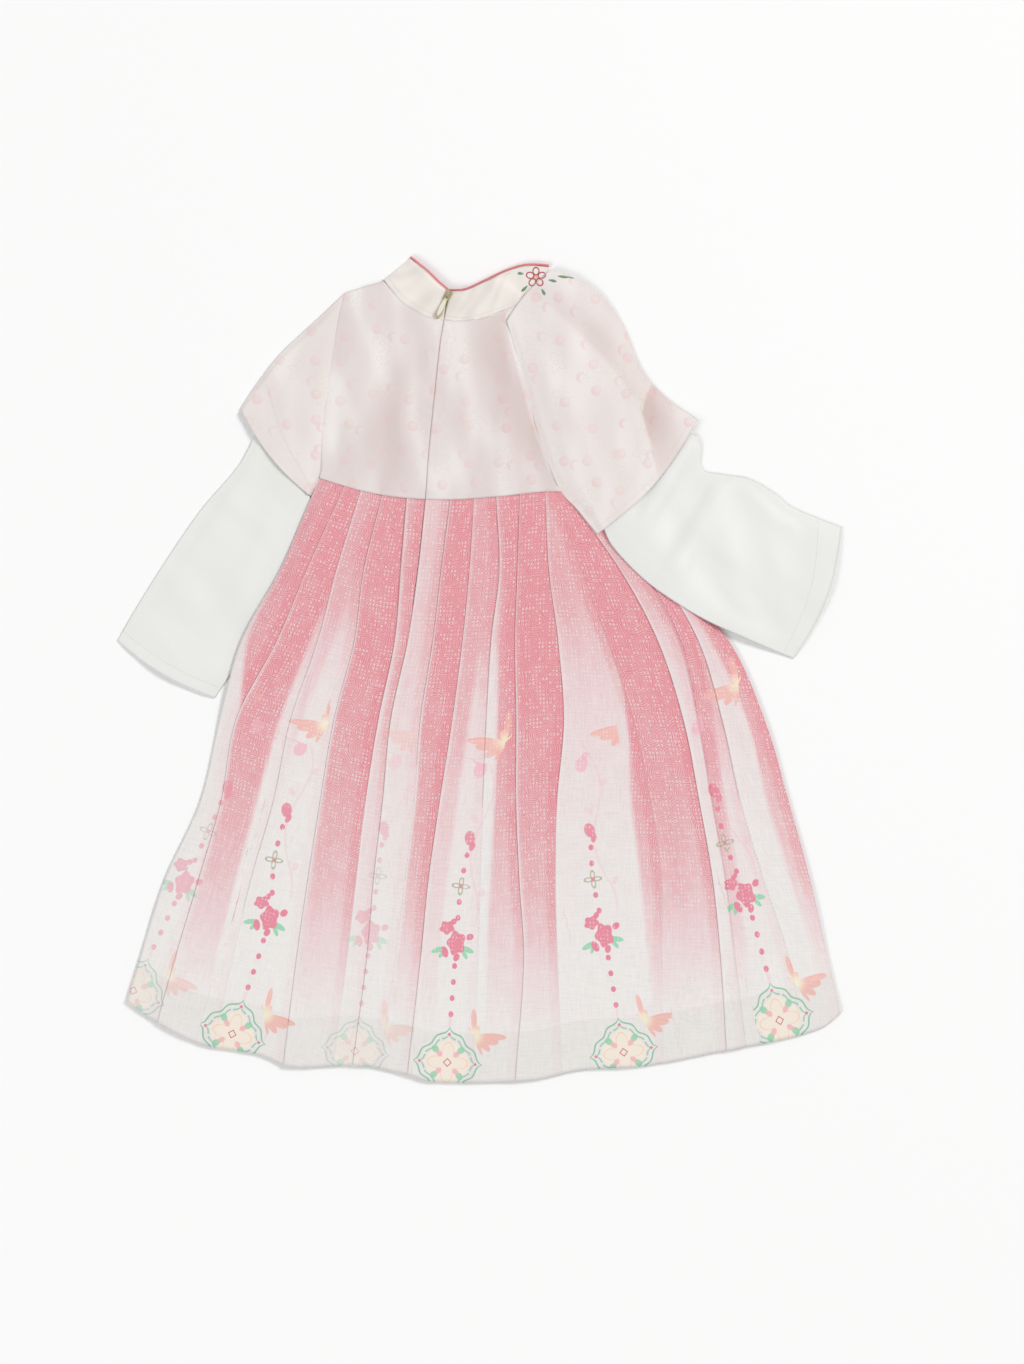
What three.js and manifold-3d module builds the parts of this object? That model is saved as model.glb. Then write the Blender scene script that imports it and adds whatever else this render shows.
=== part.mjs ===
// A girl's hanfu dress, laid flat on its front with the back up.  Millimetres.
// Points below are [x, y] on the plane the dress lies on: the middle of the back waist seam is
// near [0, 0], +X runs to the wearer's right and +Y towards the collar.  +Z points up, away from
// that plane.  The finished group stands on z = 0, centred in x and y.
import * as THREE from "three";
import { mergeVertices } from "three/addons/utils/BufferGeometryUtils.js";
import Module from "manifold-3d";

// ---- driving dimensions -----------------------------------------------------------------
const CLOTH = 1; // wall of one layer of cloth
const GAP = 0.4; // air between two layers, and between two pieces at a seam
const LAYER = CLOTH + GAP; // pitch of layers that lie on each other
const SEAM_HALF = 0.25; // half the gap between bodice and skirt at the waist
const FRONT_Z = CLOTH / 2; // middle of a layer that lies on the plane
const LINING_Z = 3.05; // middle of the skirt lining
const BACK_Z = 4.5; // middle of the back skirt between its pleats
const SIDE_Z = FRONT_Z + LAYER; // middle of a back layer where it meets the front at a side seam
const SIDE_RAMP = 16; // width over which the back skirt rises from its side seam
const LINING_INSET = 19; // how far the lining stays inside the right side seam
const LINING_SHORT = 44; // how much shorter the lining is than the skirt
const SLEEVE_LIFT = 3; // height of the left sleeve, which the skirt's side lies on
const CHAIN_HALF = 1; // half the width of the zip's chain
const ZIP_END_Y = -98; // bottom end of the zip
const ZIP_CLEAR = CHAIN_HALF + GAP; // from the zip's middle to the cloth beside it

const MATERIALS = {
  skirt: { color: 0xe9a9b2, roughness: 0.75 },
  lining: { color: 0xf3efee, roughness: 0.6 },
  bodice: { color: 0xeee5e3, roughness: 0.7 },
  sleeve: { color: 0xececea, roughness: 0.5 },
  collar: { color: 0xf3eee4, roughness: 0.45 },
  piping: { color: 0xe48c8c, roughness: 0.6 },
  zip: { color: 0xf1e8dc, roughness: 0.5 },
};

// ---- tables -----------------------------------------------------------------------------
// Back waist seam and back hem, from the left side seam to the right.
const WAIST = [[-95, 16], [-59, 5], [-25, -1], [19, -3], [63, 0], [104, 4], [146, 3]];
const HEM = [
  [-265, -444], [-238, -463], [-200, -482], [-150, -491], [-121, -502], [-61, -501], [-18, -509],
  [4, -515], [91, -514], [134, -505], [193, -501], [256, -489], [302, -480], [347, -468], [362, -456],
];
// Heights at which the skirt's side seams and fold edges are placed.
const LEVELS = [0, -65, -127, -197, -268, -338, -408, -505];
const SKIRT_LEFT = [-102, -130, -164, -183, -200, -232, -254, -282];
const SKIRT_RIGHT = [146, 209, 264, 296, 317, 336, 352, 374];
// Knife pleats of the back skirt.  x: the fold's edge at each level.  tuck: how far the cloth
// runs back under the fold, at the waist, a third, two thirds and the hem; below zero the pleat
// has opened into a slope.  rise: height of the edge over the cloth beside it.  faces: the side
// its edge looks to.
const PLEATS_LEFT = [
  { x: [-78, -107, -133, -169, -182, -202, -223, -250], tuck: [12, 10, 8, 5], rise: [3, 5, 5, 4] },
  { x: [-61, -81, -97, -121, -136, -156, -172, -193], tuck: [12, 9, 3, -8], rise: [3, 4.6, 4.2, 1.2] },
  { x: [-41, -57, -65, -83, -95, -106, -116, -128], tuck: [12, 10, 8, 5], rise: [3, 5.2, 5.4, 4.4] },
  { x: [-20, -25, -30, -44, -55, -63, -71, -84], tuck: [12, 6, -4, -8], rise: [3, 4.2, 1.8, 0.8] },
];
const CENTRE = { x: [-2, -9, -18, -33, -40, -48, -54, -67], tuck: [8, 8, 7, 5], rise: [3.2, 4.6, 4.8, 4] };
const PLEATS_RIGHT = [
  { x: [19, 11, 4, -7, -12, -20, -28, -42], tuck: [12, 4, -6, -8], rise: [3, 4.2, 1.4, 0.8] },
  { x: [40, 36, 30, 21, 10, 0, -7, -18], tuck: [12, 10, 9, 6], rise: [3, 5.6, 6.4, 5.4] },
  { x: [59, 62, 55, 51, 48, 46, 44, 40], tuck: [12, 8, -5, -8], rise: [3, 4.4, 1.8, 0.8] },
  { x: [80, 78, 76, 77, 77, 80, 84, 77], tuck: [12, 9, 6, 3], rise: [3, 4.8, 4.6, 3.6] },
  { x: [103, 106, 114, 119, 113, 112, 114, 118], tuck: [7, 8, -5, -9], rise: [3, 4.6, 2, 0.8] },
  { x: [113, 135, 158, 181, 196, 206, 206, 208], tuck: [-2, -8, -9, -9], rise: [0.6, 1.4, 2.4, 1.6] },
  { x: [122, 168, 201, 224, 238, 250, 257, 263], tuck: [2, 6, 4, 3], rise: [2.9, 4.4, 4.4, 3.4] },
  {
    x: [131, 188, 222, 238, 250, 262, 270, 282], tuck: [2, 4, 4, 3], rise: [2.9, 4.2, 4.2, 3.2],
    faces: "right",
  },
  { x: [138, 199, 237, 258, 274, 295, 318, 334], tuck: [2, 6, -4, -8], rise: [2.9, 4.2, 2.2, 1] },
];
const PLEAT_STAGES = [0, 1 / 3, 2 / 3, 1];
const LINING_SHARES = [0, 0.1, 0.22, 0.36, 0.5, 0.64, 0.78, 0.9, 1];
const SKIRT_ROWS = [0, 0.05, 0.13, 0.24, 0.34, 0.42, 0.56, 0.7, 0.85, 1];
const SIDE_COLUMNS = [11, 19, 27, 36]; // distances inside the left side seam that have a column
const FRONT_PLEATS = 9; // shallow pleats of the front skirt
const FRONT_PLEAT_RISE = 1.3;
const SIDE_STRIP_RISE = 0.8; // swell of the strip beside the left side seam
const SEAM_UNDER = 3.5; // how far the left back panel runs under the centre fold below the zip

// Centre back zip over the bodice and the collar, [y, x].  Over the skirt it follows CENTRE.
const ZIP = [[0, -2], [41, 1], [90, 6], [136, 11], [154, 14], [179, 18]];

// Edges of the bodice.
const ARMHOLE_LEFT = { under: [-95, 16], outer: [-74, 178], bow: 3.4 };
const SHOULDER_LEFT = [[-74, 178], [-57, 183.5], [-42, 187.5], [-37.6, 187.4]];
const SIDE_RIGHT = [[146, 3], [130, 32], [118, 82], [112, 130], [112, 172]];
const SHOULDER_RIGHT = [[90.6, 177.6], [112, 172]];
// Heights of the back bodice's cloth: from the armhole to the zip, at waist, chest and shoulder.
const BODICE_HEIGHTS = [
  [2.2, 6.6, 6.8],
  [4.7, 5.8, 5.6],
  [2, 2.6, 3.4],
];

// Collar: its seam and its top edge, from the zip to the fold at each side of the neck.
const COLLAR_LEFT = {
  seam: [[12.2, 155.5], [2, 158], [-9, 163.5], [-23, 173], [-36, 189]],
  top: [[16, 181], [8, 188], [0, 196], [-8, 202.5], [-15, 208]],
};
const COLLAR_RIGHT = {
  seam: [[15.6, 156], [32, 154], [50, 158], [69, 164.5], [81, 171.5], [91, 180]],
  top: [[19.8, 179.5], [33, 180.5], [50, 188], [69, 197], [87, 202], [105, 201]],
};
const COLLAR_FRONT_DROP = 3; // how much lower the collar's hidden front half lies
const COLLAR_BACK_Z = 3.4; // middle of the collar's back halves at the zip
const COLLAR_FOLD_Z = 2.7; // the same beside its side folds
const PIPING_RADIUS = 0.9;
const PIPING_FOLD_Z = 1.7; // middle of the piping where it turns under at a side fold

// Sleeves, a row for each section along the arm.  under and outer: the section's two folded
// sides.  bow: how far its middle bows towards the cuff.  lift: height of its lower layer over
// what it lies on.  room: space between its two layers at the sides.  swell: more of it mid-way.
const SLEEVE_LEFT = [
  { under: [-101.5, 12], outer: [-106, 138], bow: 1, lift: LAYER, room: 1.6, swell: 0 },
  { under: [-106, 3], outer: [-134, 92], bow: 2, lift: LAYER, room: 1.6, swell: 0 },
  { under: [-109.5, -8], outer: [-157, 43], bow: 3, lift: LAYER, room: 1.6, swell: 0.4 },
  { under: [-116, -40], outer: [-171, 21], bow: 3, lift: 0, room: 1.6, swell: 1 },
  { under: [-128, -76], outer: [-201, -14], bow: 3, lift: 0, room: 1.6, swell: 1.4 },
  { under: [-150, -116], outer: [-235, -64], bow: 3, lift: 0, room: 1.6, swell: 1.4 },
  { under: [-170, -151], outer: [-258, -101], bow: 4, lift: 0, room: 1.6, swell: 1.6 },
  { under: [-188, -178], outer: [-273, -127], bow: 5, lift: 0, room: 1.6, swell: 1.8 },
];
const SLEEVE_RIGHT = [
  { under: [127, 16], outer: [152, 114], bow: 0, lift: 1.9, room: 1.6, swell: 0 },
  { under: [140, -5], outer: [187, 95], bow: 2, lift: 1.9, room: 1.6, swell: 0 },
  { under: [153.5, -27], outer: [233, 63], bow: 4, lift: 1.9, room: 1.6, swell: 0.4 },
  { under: [162, -44], outer: [239.5, 46], bow: 6, lift: 1.9, room: 1.6, swell: 0.8 },
  { under: [183, -67], outer: [241, 24], bow: 4, lift: 0.4, room: 1.6, swell: 1.2 },
  { under: [205, -85], outer: [258, 19], bow: 2, lift: 0, room: 1.6, swell: 2 },
  { under: [240, -107], outer: [282, 15], bow: 1, lift: 0, room: 1.6, swell: 2.4 },
  { under: [272, -122], outer: [305, 2], bow: 1, lift: 0, room: 1.6, swell: 2.2 },
  { under: [300, -134], outer: [322, -11], bow: 1, lift: 0, room: 1.6, swell: 2 },
  { under: [322, -143], outer: [364, -28], bow: 9, lift: 0, room: 1.6, swell: 1.8 },
];
const OVER_SLEEVE_LEFT = [
  { under: [-96.2, 15.2], outer: [-75.2, 178], bow: 3.4, lift: 0, room: 1.6, swell: 2.8 },
  { under: [-98, 11], outer: [-97, 156], bow: 0, lift: 0, room: 4.4, swell: 0 },
  { under: [-100, 6], outer: [-129, 126], bow: 2, lift: 0, room: 4.4, swell: 0.4 },
  { under: [-102, 2], outer: [-149, 101], bow: 4, lift: 0, room: 4.4, swell: 0.6 },
  { under: [-104.5, -1], outer: [-165, 77], bow: 6, lift: 0, room: 4.4, swell: 0.8 },
];
const OVER_SLEEVE_RIGHT = [
  { under: [69.5, 154], outer: [108.5, 199], bow: -3, lift: 0, room: 1.6, swell: 0.2 },
  { under: [77, 128], outer: [131, 190], bow: 0, lift: 0, room: 1.8, swell: 0.6 },
  { under: [87, 92], outer: [154, 175], bow: 2, lift: 0, room: 2.4, swell: 0.8 },
  { under: [99, 48], outer: [172, 149], bow: 4, lift: 0, room: 5.2, swell: 0.8 },
  { under: [115, 7], outer: [189, 110], bow: 6, lift: 0, room: 5.2, swell: 1 },
  { under: [131, -12], outer: [210, 86], bow: 8, lift: 0, room: 5.2, swell: 1 },
  { under: [149, -34], outer: [237, 67], bow: 9, lift: 0, room: 5.2, swell: 1 },
];
// What the right sleeve lies on.  x: edge of the bodice and skirt under it, at y.  height: how
// high the sleeve's lowest layer lies there.
const BED = [
  { y: 205, x: 106, height: 5.4 },
  { y: 172, x: 112, height: 5.8 },
  { y: 130, x: 112, height: 6.4 },
  { y: 82, x: 118, height: 6.6 },
  { y: 32, x: 130, height: 7.2 },
  { y: 3, x: 146, height: 8.8 },
  { y: -62, x: 208, height: 9.4 },
  { y: -121, x: 261, height: 9 },
  { y: -145, x: 273, height: 8 },
];
const BED_RAMP = 60; // width over which the sleeve comes down to the plane beside that edge

// Zip slider and pull tab: the tab turns on a pin under the slider's bridge.
const SLIDER_Y = 176;
const SLIDER = { width: 6, length: 9, height: 1.6 };
const PIN = { radius: 0.6, height: 1.3, clear: 0.35 }; // height: over the slider's body
const BRIDGE = { inner: 1.15, outer: 2, halfWidth: 0.6, sunk: 0.4 };
const TAB = { length: 22, width: 5.5, thickness: 0.8, armOuter: 1.9, hole: 2.6, droop: 5 };
const TAB_TURN = 26.6; // degrees from straight down to where the tab points, to the left

// ---- helpers ----------------------------------------------------------------------------
const point = (x, y, z) => new THREE.Vector3(x, y, z);
const mix = (a, b, t) => a + (b - a) * t;
const clamp01 = t => Math.min(1, Math.max(0, t));
const ease = t => clamp01(t) ** 2 * (3 - 2 * clamp01(t));

// Value at `at` of the smooth curve through values[i] at places[i], in rising or falling order.
function through(places, values, at) {
  const last = places.length - 1;
  const falling = places[0] > places[last];
  let i = 0;
  while (i < last - 1 && (falling ? at < places[i + 1] : at > places[i + 1])) i++;
  const slope = k => {
    const a = Math.max(0, k - 1);
    const b = Math.min(last, k + 1);
    return (values[b] - values[a]) / (places[b] - places[a]);
  };
  const step = places[i + 1] - places[i];
  const t = (at - places[i]) / step;
  if (t < 0) return values[i] + slope(i) * (at - places[i]);
  if (t > 1) return values[i + 1] + slope(i + 1) * (at - places[i + 1]);
  const a = values[i];
  const b = values[i + 1];
  const bend = t * (1 - t);
  return mix(a, b, t * t * (3 - 2 * t)) + bend * step * (slope(i) * (1 - t) - slope(i + 1) * t);
}
const waistY = x => through(WAIST.map(p => p[0]), WAIST.map(p => p[1]), x);
const hemY = x => through(HEM.map(p => p[0]), HEM.map(p => p[1]), x);
const centreX = y => through(LEVELS, CENTRE.x, y);
const zipX = y => (y < 0 ? centreX(y) : through(ZIP.map(p => p[0]), ZIP.map(p => p[1]), y));

// The point a share t along a line of [x, y] points, counted by point, with its corners rounded.
function onLine(line, t) {
  const places = line.map((_, i) => i);
  const at = t * (line.length - 1);
  return [through(places, line.map(p => p[0]), at), through(places, line.map(p => p[1]), at)];
}

// The point a share v from `under` to `outer`, on a line that bows by `bow` to its left.
function bowed(under, outer, bow, v) {
  const [dx, dy] = [outer[0] - under[0], outer[1] - under[1]];
  const out = (bow * Math.sin(Math.PI * v)) / Math.hypot(dx, dy);
  return [under[0] + dx * v - dy * out, under[1] + dy * v + dx * out];
}

// Points of one section moved `distance` off the cloth's middle, in the upright plane that holds
// the level direction `along`.
function offset(section, along, distance, closed) {
  const count = section.length;
  const normals = section.map((from, i) => {
    const to = section[(i + 1) % count];
    const run = (to.x - from.x) * along.x + (to.y - from.y) * along.y;
    const rise = to.z - from.z;
    const length = Math.hypot(run, rise) || 1;
    return { run: -rise / length, rise: run / length };
  });
  return section.map((from, i) => {
    const after = closed || i < count - 1 ? normals[i] : normals[i - 1];
    const before = i > 0 ? normals[i - 1] : closed ? normals[count - 1] : normals[0];
    const run = before.run + after.run;
    const rise = before.rise + after.rise;
    const size = Math.max(0.8, run * run + rise * rise);
    const scale = (2 * distance) / size;
    return point(from.x + along.x * run * scale, from.y + along.y * run * scale, from.z + rise * scale);
  });
}

// Closed wall of cloth through its sections, each a list of as many points.  A closed section
// makes a tube that is open at both ends.
function cloth(sections, along, closed = false) {
  const across = sections[0].length;
  const faces = [CLOTH / 2, -CLOTH / 2].map(distance =>
    sections.map((section, i) => offset(section, along(i), distance, closed)),
  );
  const corners = faces.flat(2);
  const at = (face, i, j) => (face * sections.length + i) * across + (j % across);
  const triangles = [];
  const quad = (a, b, c, d) => triangles.push(a, b, c, a, c, d);
  const steps = closed ? across : across - 1;
  const last = sections.length - 1;
  for (let i = 0; i < last; i++) {
    for (let j = 0; j < steps; j++) {
      quad(at(0, i, j), at(0, i, j + 1), at(0, i + 1, j + 1), at(0, i + 1, j));
      quad(at(1, i, j), at(1, i + 1, j), at(1, i + 1, j + 1), at(1, i, j + 1));
    }
    if (closed) continue;
    quad(at(0, i, 0), at(0, i + 1, 0), at(1, i + 1, 0), at(1, i, 0));
    quad(at(0, i, steps), at(1, i, steps), at(1, i + 1, steps), at(0, i + 1, steps));
  }
  for (let j = 0; j < steps; j++) {
    quad(at(0, 0, j), at(1, 0, j), at(1, 0, j + 1), at(0, 0, j + 1));
    quad(at(0, last, j), at(0, last, j + 1), at(1, last, j + 1), at(1, last, j));
  }
  return facingOut(corners, triangles);
}

function facingOut(corners, triangles) {
  let volume = 0;
  for (let i = 0; i < triangles.length; i += 3) {
    const [a, b, c] = triangles.slice(i, i + 3).map(k => corners[k]);
    volume += a.dot(b.clone().cross(c));
  }
  if (volume < 0) triangles.reverse();
  const geometry = new THREE.BufferGeometry().setFromPoints(corners);
  geometry.setIndex(triangles);
  geometry.computeVertexNormals();
  return geometry;
}

// ---- skirt ------------------------------------------------------------------------------
const skirtLeft = y => through(LEVELS, SKIRT_LEFT, y);
const skirtRight = y => through(LEVELS, SKIRT_RIGHT, y);

// Plan point a share t down the skirt from waist to hem, where the line x = lineAt(y) runs.
// A layer that is `short` of the hem ends that much above it.
function downSkirt(lineAt, t, short = 0) {
  let x = lineAt(mix(0, LEVELS[LEVELS.length - 1], t));
  let y = 0;
  for (let turn = 0; turn < 4; turn++) {
    y = mix(waistY(x) - SEAM_HALF, hemY(x) + short, t);
    x = lineAt(y);
  }
  return [x, y];
}

// How far the left sleeve under the skirt's left side lifts it.
function liftAt(x, y) {
  const inside = x - skirtLeft(y);
  const inward = 1 - ease((inside - 13) / 22);
  return SLEEVE_LIFT * inward * ease((14 - y) / 22) * (1 - ease((-178 - y) / 40));
}

// Height of the middle of the back skirt, without its pleats.
function backZ(x, y) {
  const inside = Math.min(x - skirtLeft(y), skirtRight(y) - x);
  const ramp = ease(inside / SIDE_RAMP);
  return mix(SIDE_Z, BACK_Z, ramp) + liftAt(x, y);
}

// Points over one pleat, from under the cloth before it up to its edge.
function pleatPoints(edge, tuck, rise, faces) {
  const side = faces === "right" ? -1 : 1;
  const opened = tuck < 0;
  const reach = side * tuck;
  const points = opened
    ? [[reach, 0], [reach * 0.67, rise / 3], [reach * 0.33, (rise * 2) / 3], [0, rise]]
    : [[reach, 0], [reach, LAYER], [0, rise - LAYER], [0, rise]];
  const placed = points.map(([dx, dz]) => ({ x: edge + dx, z: dz }));
  return side < 0 ? placed.reverse() : placed;
}

// Points of a back skirt panel's section over its pleats and the strips between them.
function overPleats(stops, end) {
  const points = [];
  stops.forEach((stop, k) => {
    points.push(...pleatPoints(stop.x, stop.tuck, stop.rise, stop.faces));
    points.push(...between(stop, stops[k + 1] ?? end));
  });
  return points;
}

// Points of the strip between two pleats.
function between(from, to) {
  const width = to.x - from.x;
  const end = to.x - Math.max(1, width * 0.06) + Math.min(0, to.tuck);
  const high = from.tuck > 0 ? Math.max(2.9, from.rise * 0.85) : from.rise * 0.85;
  if (to.faces === "right") return [{ x: from.x + width * 0.5, z: Math.max(high, to.rise * 0.9) }];
  if (from.faces === "right") return [{ x: from.x + width * 0.4, z: 0.3 }, { x: end, z: 0 }];
  const start = from.x + Math.max(width * 0.3, from.tuck + 1);
  return [{ x: start, z: high }, { x: mix(start, end, 0.5), z: high * 0.45 }, { x: end, z: 0 }];
}

function stopsAt(pleats, t) {
  return pleats.map(pleat => {
    const [x] = downSkirt(y => through(LEVELS, pleat.x, y), t);
    const tuck = through(PLEAT_STAGES, pleat.tuck, t);
    return { x, tuck, rise: through(PLEAT_STAGES, pleat.rise, t), faces: pleat.faces };
  });
}

function placeSection(points, t) {
  return points.map(({ x, z }) => {
    const y = mix(waistY(x) - SEAM_HALF, hemY(x), t);
    return point(x, y, backZ(x, y) + z);
  });
}

function skirtBackLeft() {
  const sections = SKIRT_ROWS.map(t => {
    const [left] = downSkirt(skirtLeft, t);
    const [centre, y] = downSkirt(at => through(LEVELS, CENTRE.x, at), t);
    const stops = stopsAt(PLEATS_LEFT, t);
    const end = { x: centre - ZIP_CLEAR, tuck: 0 };
    const seam = y > ZIP_END_Y ? end.x : centre + SEAM_UNDER;
    const points = [
      { x: left, z: 0 },
      { x: mix(left, stops[0].x, 0.45), z: SIDE_STRIP_RISE },
      { x: stops[0].x - 1.2, z: 0 },
      ...overPleats(stops, end),
      { x: seam, z: 0 },
    ];
    return placeSection(points, t);
  });
  return cloth(sections, alongX);
}

function skirtBackRight() {
  const sections = SKIRT_ROWS.map(t => {
    const stops = stopsAt([CENTRE, ...PLEATS_RIGHT], t);
    stops[0].x += ZIP_CLEAR + CLOTH / 2;
    const [right] = downSkirt(skirtRight, t);
    const points = overPleats(stops, { x: right, tuck: 0 }).slice(1);
    return placeSection([...points, { x: right, z: 0 }], t);
  });
  return cloth(sections, alongX);
}

// The front skirt lies face down: flat strips that each tuck up a little under the next.
function skirtFront() {
  const sections = SKIRT_ROWS.map(t => {
    const left = downSkirt(skirtLeft, t)[0] + 1;
    const right = downSkirt(skirtRight, t)[0] - 1;
    const points = [0, ...SIDE_COLUMNS.slice(0, 2)].map(inside => ({ x: left + inside, z: 0 }));
    const first = left + SIDE_COLUMNS[2];
    const strip = (right - first) / FRONT_PLEATS;
    for (let k = 0; k < FRONT_PLEATS; k++) {
      const x = first + strip * k;
      points.push({ x, z: 0 }, { x: x + strip * 0.6, z: 0 });
      points.push({ x: x + strip - 1.2, z: k < FRONT_PLEATS - 1 ? FRONT_PLEAT_RISE : 0 });
    }
    points.push({ x: right, z: 0 });
    return points.map(({ x, z }) => {
      const y = mix(waistY(x) - SEAM_HALF, hemY(x) + 1.5, t);
      return point(x, y, FRONT_Z + z + liftAt(x, y));
    });
  });
  return cloth(sections, alongX);
}

function liningBack() {
  const sections = SKIRT_ROWS.map(t => {
    const left = downSkirt(skirtLeft, t, LINING_SHORT)[0];
    const right = downSkirt(skirtRight, t, LINING_SHORT)[0] - LINING_INSET;
    const first = left + SIDE_COLUMNS[3];
    const spread = LINING_SHARES.map(share => mix(first, right, share));
    const xs = [left + SIDE_COLUMNS[1], left + SIDE_COLUMNS[2], ...spread];
    return xs.map(x => {
      const y = mix(waistY(x) - SEAM_HALF, hemY(x) + LINING_SHORT, t);
      return point(x, y, LINING_Z + liftAt(x, y));
    });
  });
  return cloth(sections, alongX);
}

// ---- bodice -----------------------------------------------------------------------------
const alongX = () => point(1, 0, 0);

// Sheet stretched between four edges, each a function of 0..1 that gives [x, y].
function stretched({ bottom, top, left, right }) {
  return (u, v) =>
    [0, 1].map(axis => {
      const flat = (1 - v) * bottom(u)[axis] + v * top(u)[axis];
      const leftBend = left(v)[axis] - mix(left(0)[axis], left(1)[axis], v);
      const rightBend = right(v)[axis] - mix(right(0)[axis], right(1)[axis], v);
      return flat + (1 - u) * leftBend + u * rightBend;
    });
}

const BODICE_ACROSS = [0, 0.08, 0.2, 0.35, 0.5, 0.65, 0.8, 0.92, 1];
const BODICE_UP = [0, 0.08, 0.2, 0.35, 0.5, 0.65, 0.8, 0.92, 1];

function bodiceCloth(edges, heightAt) {
  const plan = stretched(edges);
  const sections = BODICE_UP.map(v =>
    BODICE_ACROSS.map(u => {
      const [x, y] = plan(u, v);
      return point(x, y, heightAt(u, v));
    }),
  );
  return cloth(sections, alongX);
}

// Height of the back bodice a share u from its armhole to the zip and v from waist to shoulder.
function bodiceZ(u, v) {
  const levels = [0, 0.5, 1];
  return through(levels, BODICE_HEIGHTS.map(row => through(levels, row, u)), v);
}

const seamLine = line => t => onLine(line, t);
const bowedLine = section => v => bowed(section.under, section.outer, section.bow, v);
const lowered = (line, drop) => line.map(([x, y]) => [x, y - drop]);

function bodiceBackLeft() {
  const zip = y => [zipX(y) - ZIP_CLEAR, y];
  const neck = lowered([...COLLAR_LEFT.seam].reverse(), 1.4);
  const waistEnd = zip(waistY(-3) + SEAM_HALF);
  const edges = {
    bottom: u => {
      const x = mix(ARMHOLE_LEFT.under[0], waistEnd[0], u);
      return [x, waistY(x) + SEAM_HALF];
    },
    top: seamLine([...SHOULDER_LEFT, ...neck.slice(1)]),
    left: bowedLine(ARMHOLE_LEFT),
    right: v => zip(mix(waistEnd[1], neck[neck.length - 1][1], v)),
  };
  return bodiceCloth(edges, (u, v) => bodiceZ(u, v));
}

function bodiceBackRight() {
  const zip = y => [zipX(y) + ZIP_CLEAR, y];
  const neck = lowered(COLLAR_RIGHT.seam, 0.9);
  const waistEnd = zip(waistY(0) + SEAM_HALF);
  const edges = {
    bottom: u => {
      const x = mix(waistEnd[0], SIDE_RIGHT[0][0], u);
      return [x, waistY(x) + SEAM_HALF];
    },
    top: seamLine([...neck.slice(0, -1), ...SHOULDER_RIGHT]),
    left: v => zip(mix(waistEnd[1], neck[0][1], v)),
    right: seamLine(SIDE_RIGHT),
  };
  return bodiceCloth(edges, (u, v) => bodiceZ(1 - u, v));
}

function bodiceFront() {
  const seam = [...[...COLLAR_LEFT.seam].reverse().slice(1), ...COLLAR_RIGHT.seam.slice(1, -1)];
  const neck = lowered(seam, COLLAR_FRONT_DROP + 3);
  const edges = {
    bottom: u => {
      const x = mix(ARMHOLE_LEFT.under[0], SIDE_RIGHT[0][0], u);
      return [x, waistY(x) + SEAM_HALF];
    },
    top: seamLine([...SHOULDER_LEFT, ...neck, ...SHOULDER_RIGHT]),
    left: bowedLine(ARMHOLE_LEFT),
    right: seamLine(SIDE_RIGHT),
  };
  return bodiceCloth(edges, () => FRONT_Z);
}

// ---- collar and zip ---------------------------------------------------------------------
// The collar's sections run from the zip to the left fold, under to the right fold and back.
function collarLine(share) {
  const between = half => half.seam.map((seam, i) => seam.map((v, axis) => mix(v, half.top[i][axis], share)));
  const left = between(COLLAR_LEFT);
  const right = between(COLLAR_RIGHT);
  const back = line =>
    line.map(([x, y], i) => point(x, y, mix(COLLAR_BACK_Z, COLLAR_FOLD_Z, ease(i / (line.length - 1)))));
  const hidden = [...[...left].reverse(), ...right].map(([x, y], i, line) => {
    const edge = i === 0 || i === line.length - 1;
    return point(x, y - (edge ? 0 : COLLAR_FRONT_DROP), FRONT_Z);
  });
  return [...back(left), ...hidden, ...back(right).reverse()];
}

function collar() {
  return cloth([0, 0.5, 1].map(collarLine), alongX);
}

// Cord along the collar's top edge: each point of that edge moved out, square to it.
function piping() {
  const edge = collarLine(1);
  const off = PIPING_RADIUS + 0.7;
  const same = (a, b) => a !== b && a.x === b.x && a.y === b.y;
  const path = [];
  edge.forEach((at, i) => {
    const before = edge[Math.max(0, i - 1)];
    const after = edge[Math.min(edge.length - 1, i + 1)];
    if (same(at, before)) return;
    const from = after === at || same(at, after) ? before : after;
    const run = Math.hypot(at.x - from.x, at.y - from.y) * Math.sign(at.x - from.x);
    const [dx, dy] = [(at.x - from.x) / run, (at.y - from.y) / run];
    if (same(at, after)) {
      const past = Math.sign(run) * off;
      path.push(point(at.x + dx * past - dy * off, at.y + dy * past + dx * off, PIPING_FOLD_Z));
      return;
    }
    path.push(point(at.x - dy * off, at.y + dx * off, Math.max(at.z, PIPING_RADIUS * 1.1)));
  });
  const section = new THREE.Shape().absarc(0, 0, PIPING_RADIUS, 0, Math.PI * 2);
  return new THREE.ExtrudeGeometry(section, {
    steps: 44,
    curveSegments: 3,
    bevelEnabled: false,
    extrudePath: new THREE.CatmullRomCurve3(path, false, "centripetal"),
  });
}

const zipZ = y => through([ZIP_END_Y, -3, 20, 90, 156, 180], [6, 6.4, 6.6, 5.4, 3.5, 3.4], y);

function zipChain() {
  const ys = [ZIP_END_Y, -70, -40, -3, 20, 50, 80, 110, 140, 160, 180];
  const sections = ys.map(y => {
    const x = zipX(y);
    return [point(x - CHAIN_HALF, y, zipZ(y)), point(x + CHAIN_HALF, y, zipZ(y))];
  });
  return cloth(sections, alongX);
}

const sliderBase = zipZ(SLIDER_Y) + CLOTH / 2 + GAP;
const pinZ = sliderBase + SLIDER.height + PIN.height;

const wasm = await Module();
wasm.setup();

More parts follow.
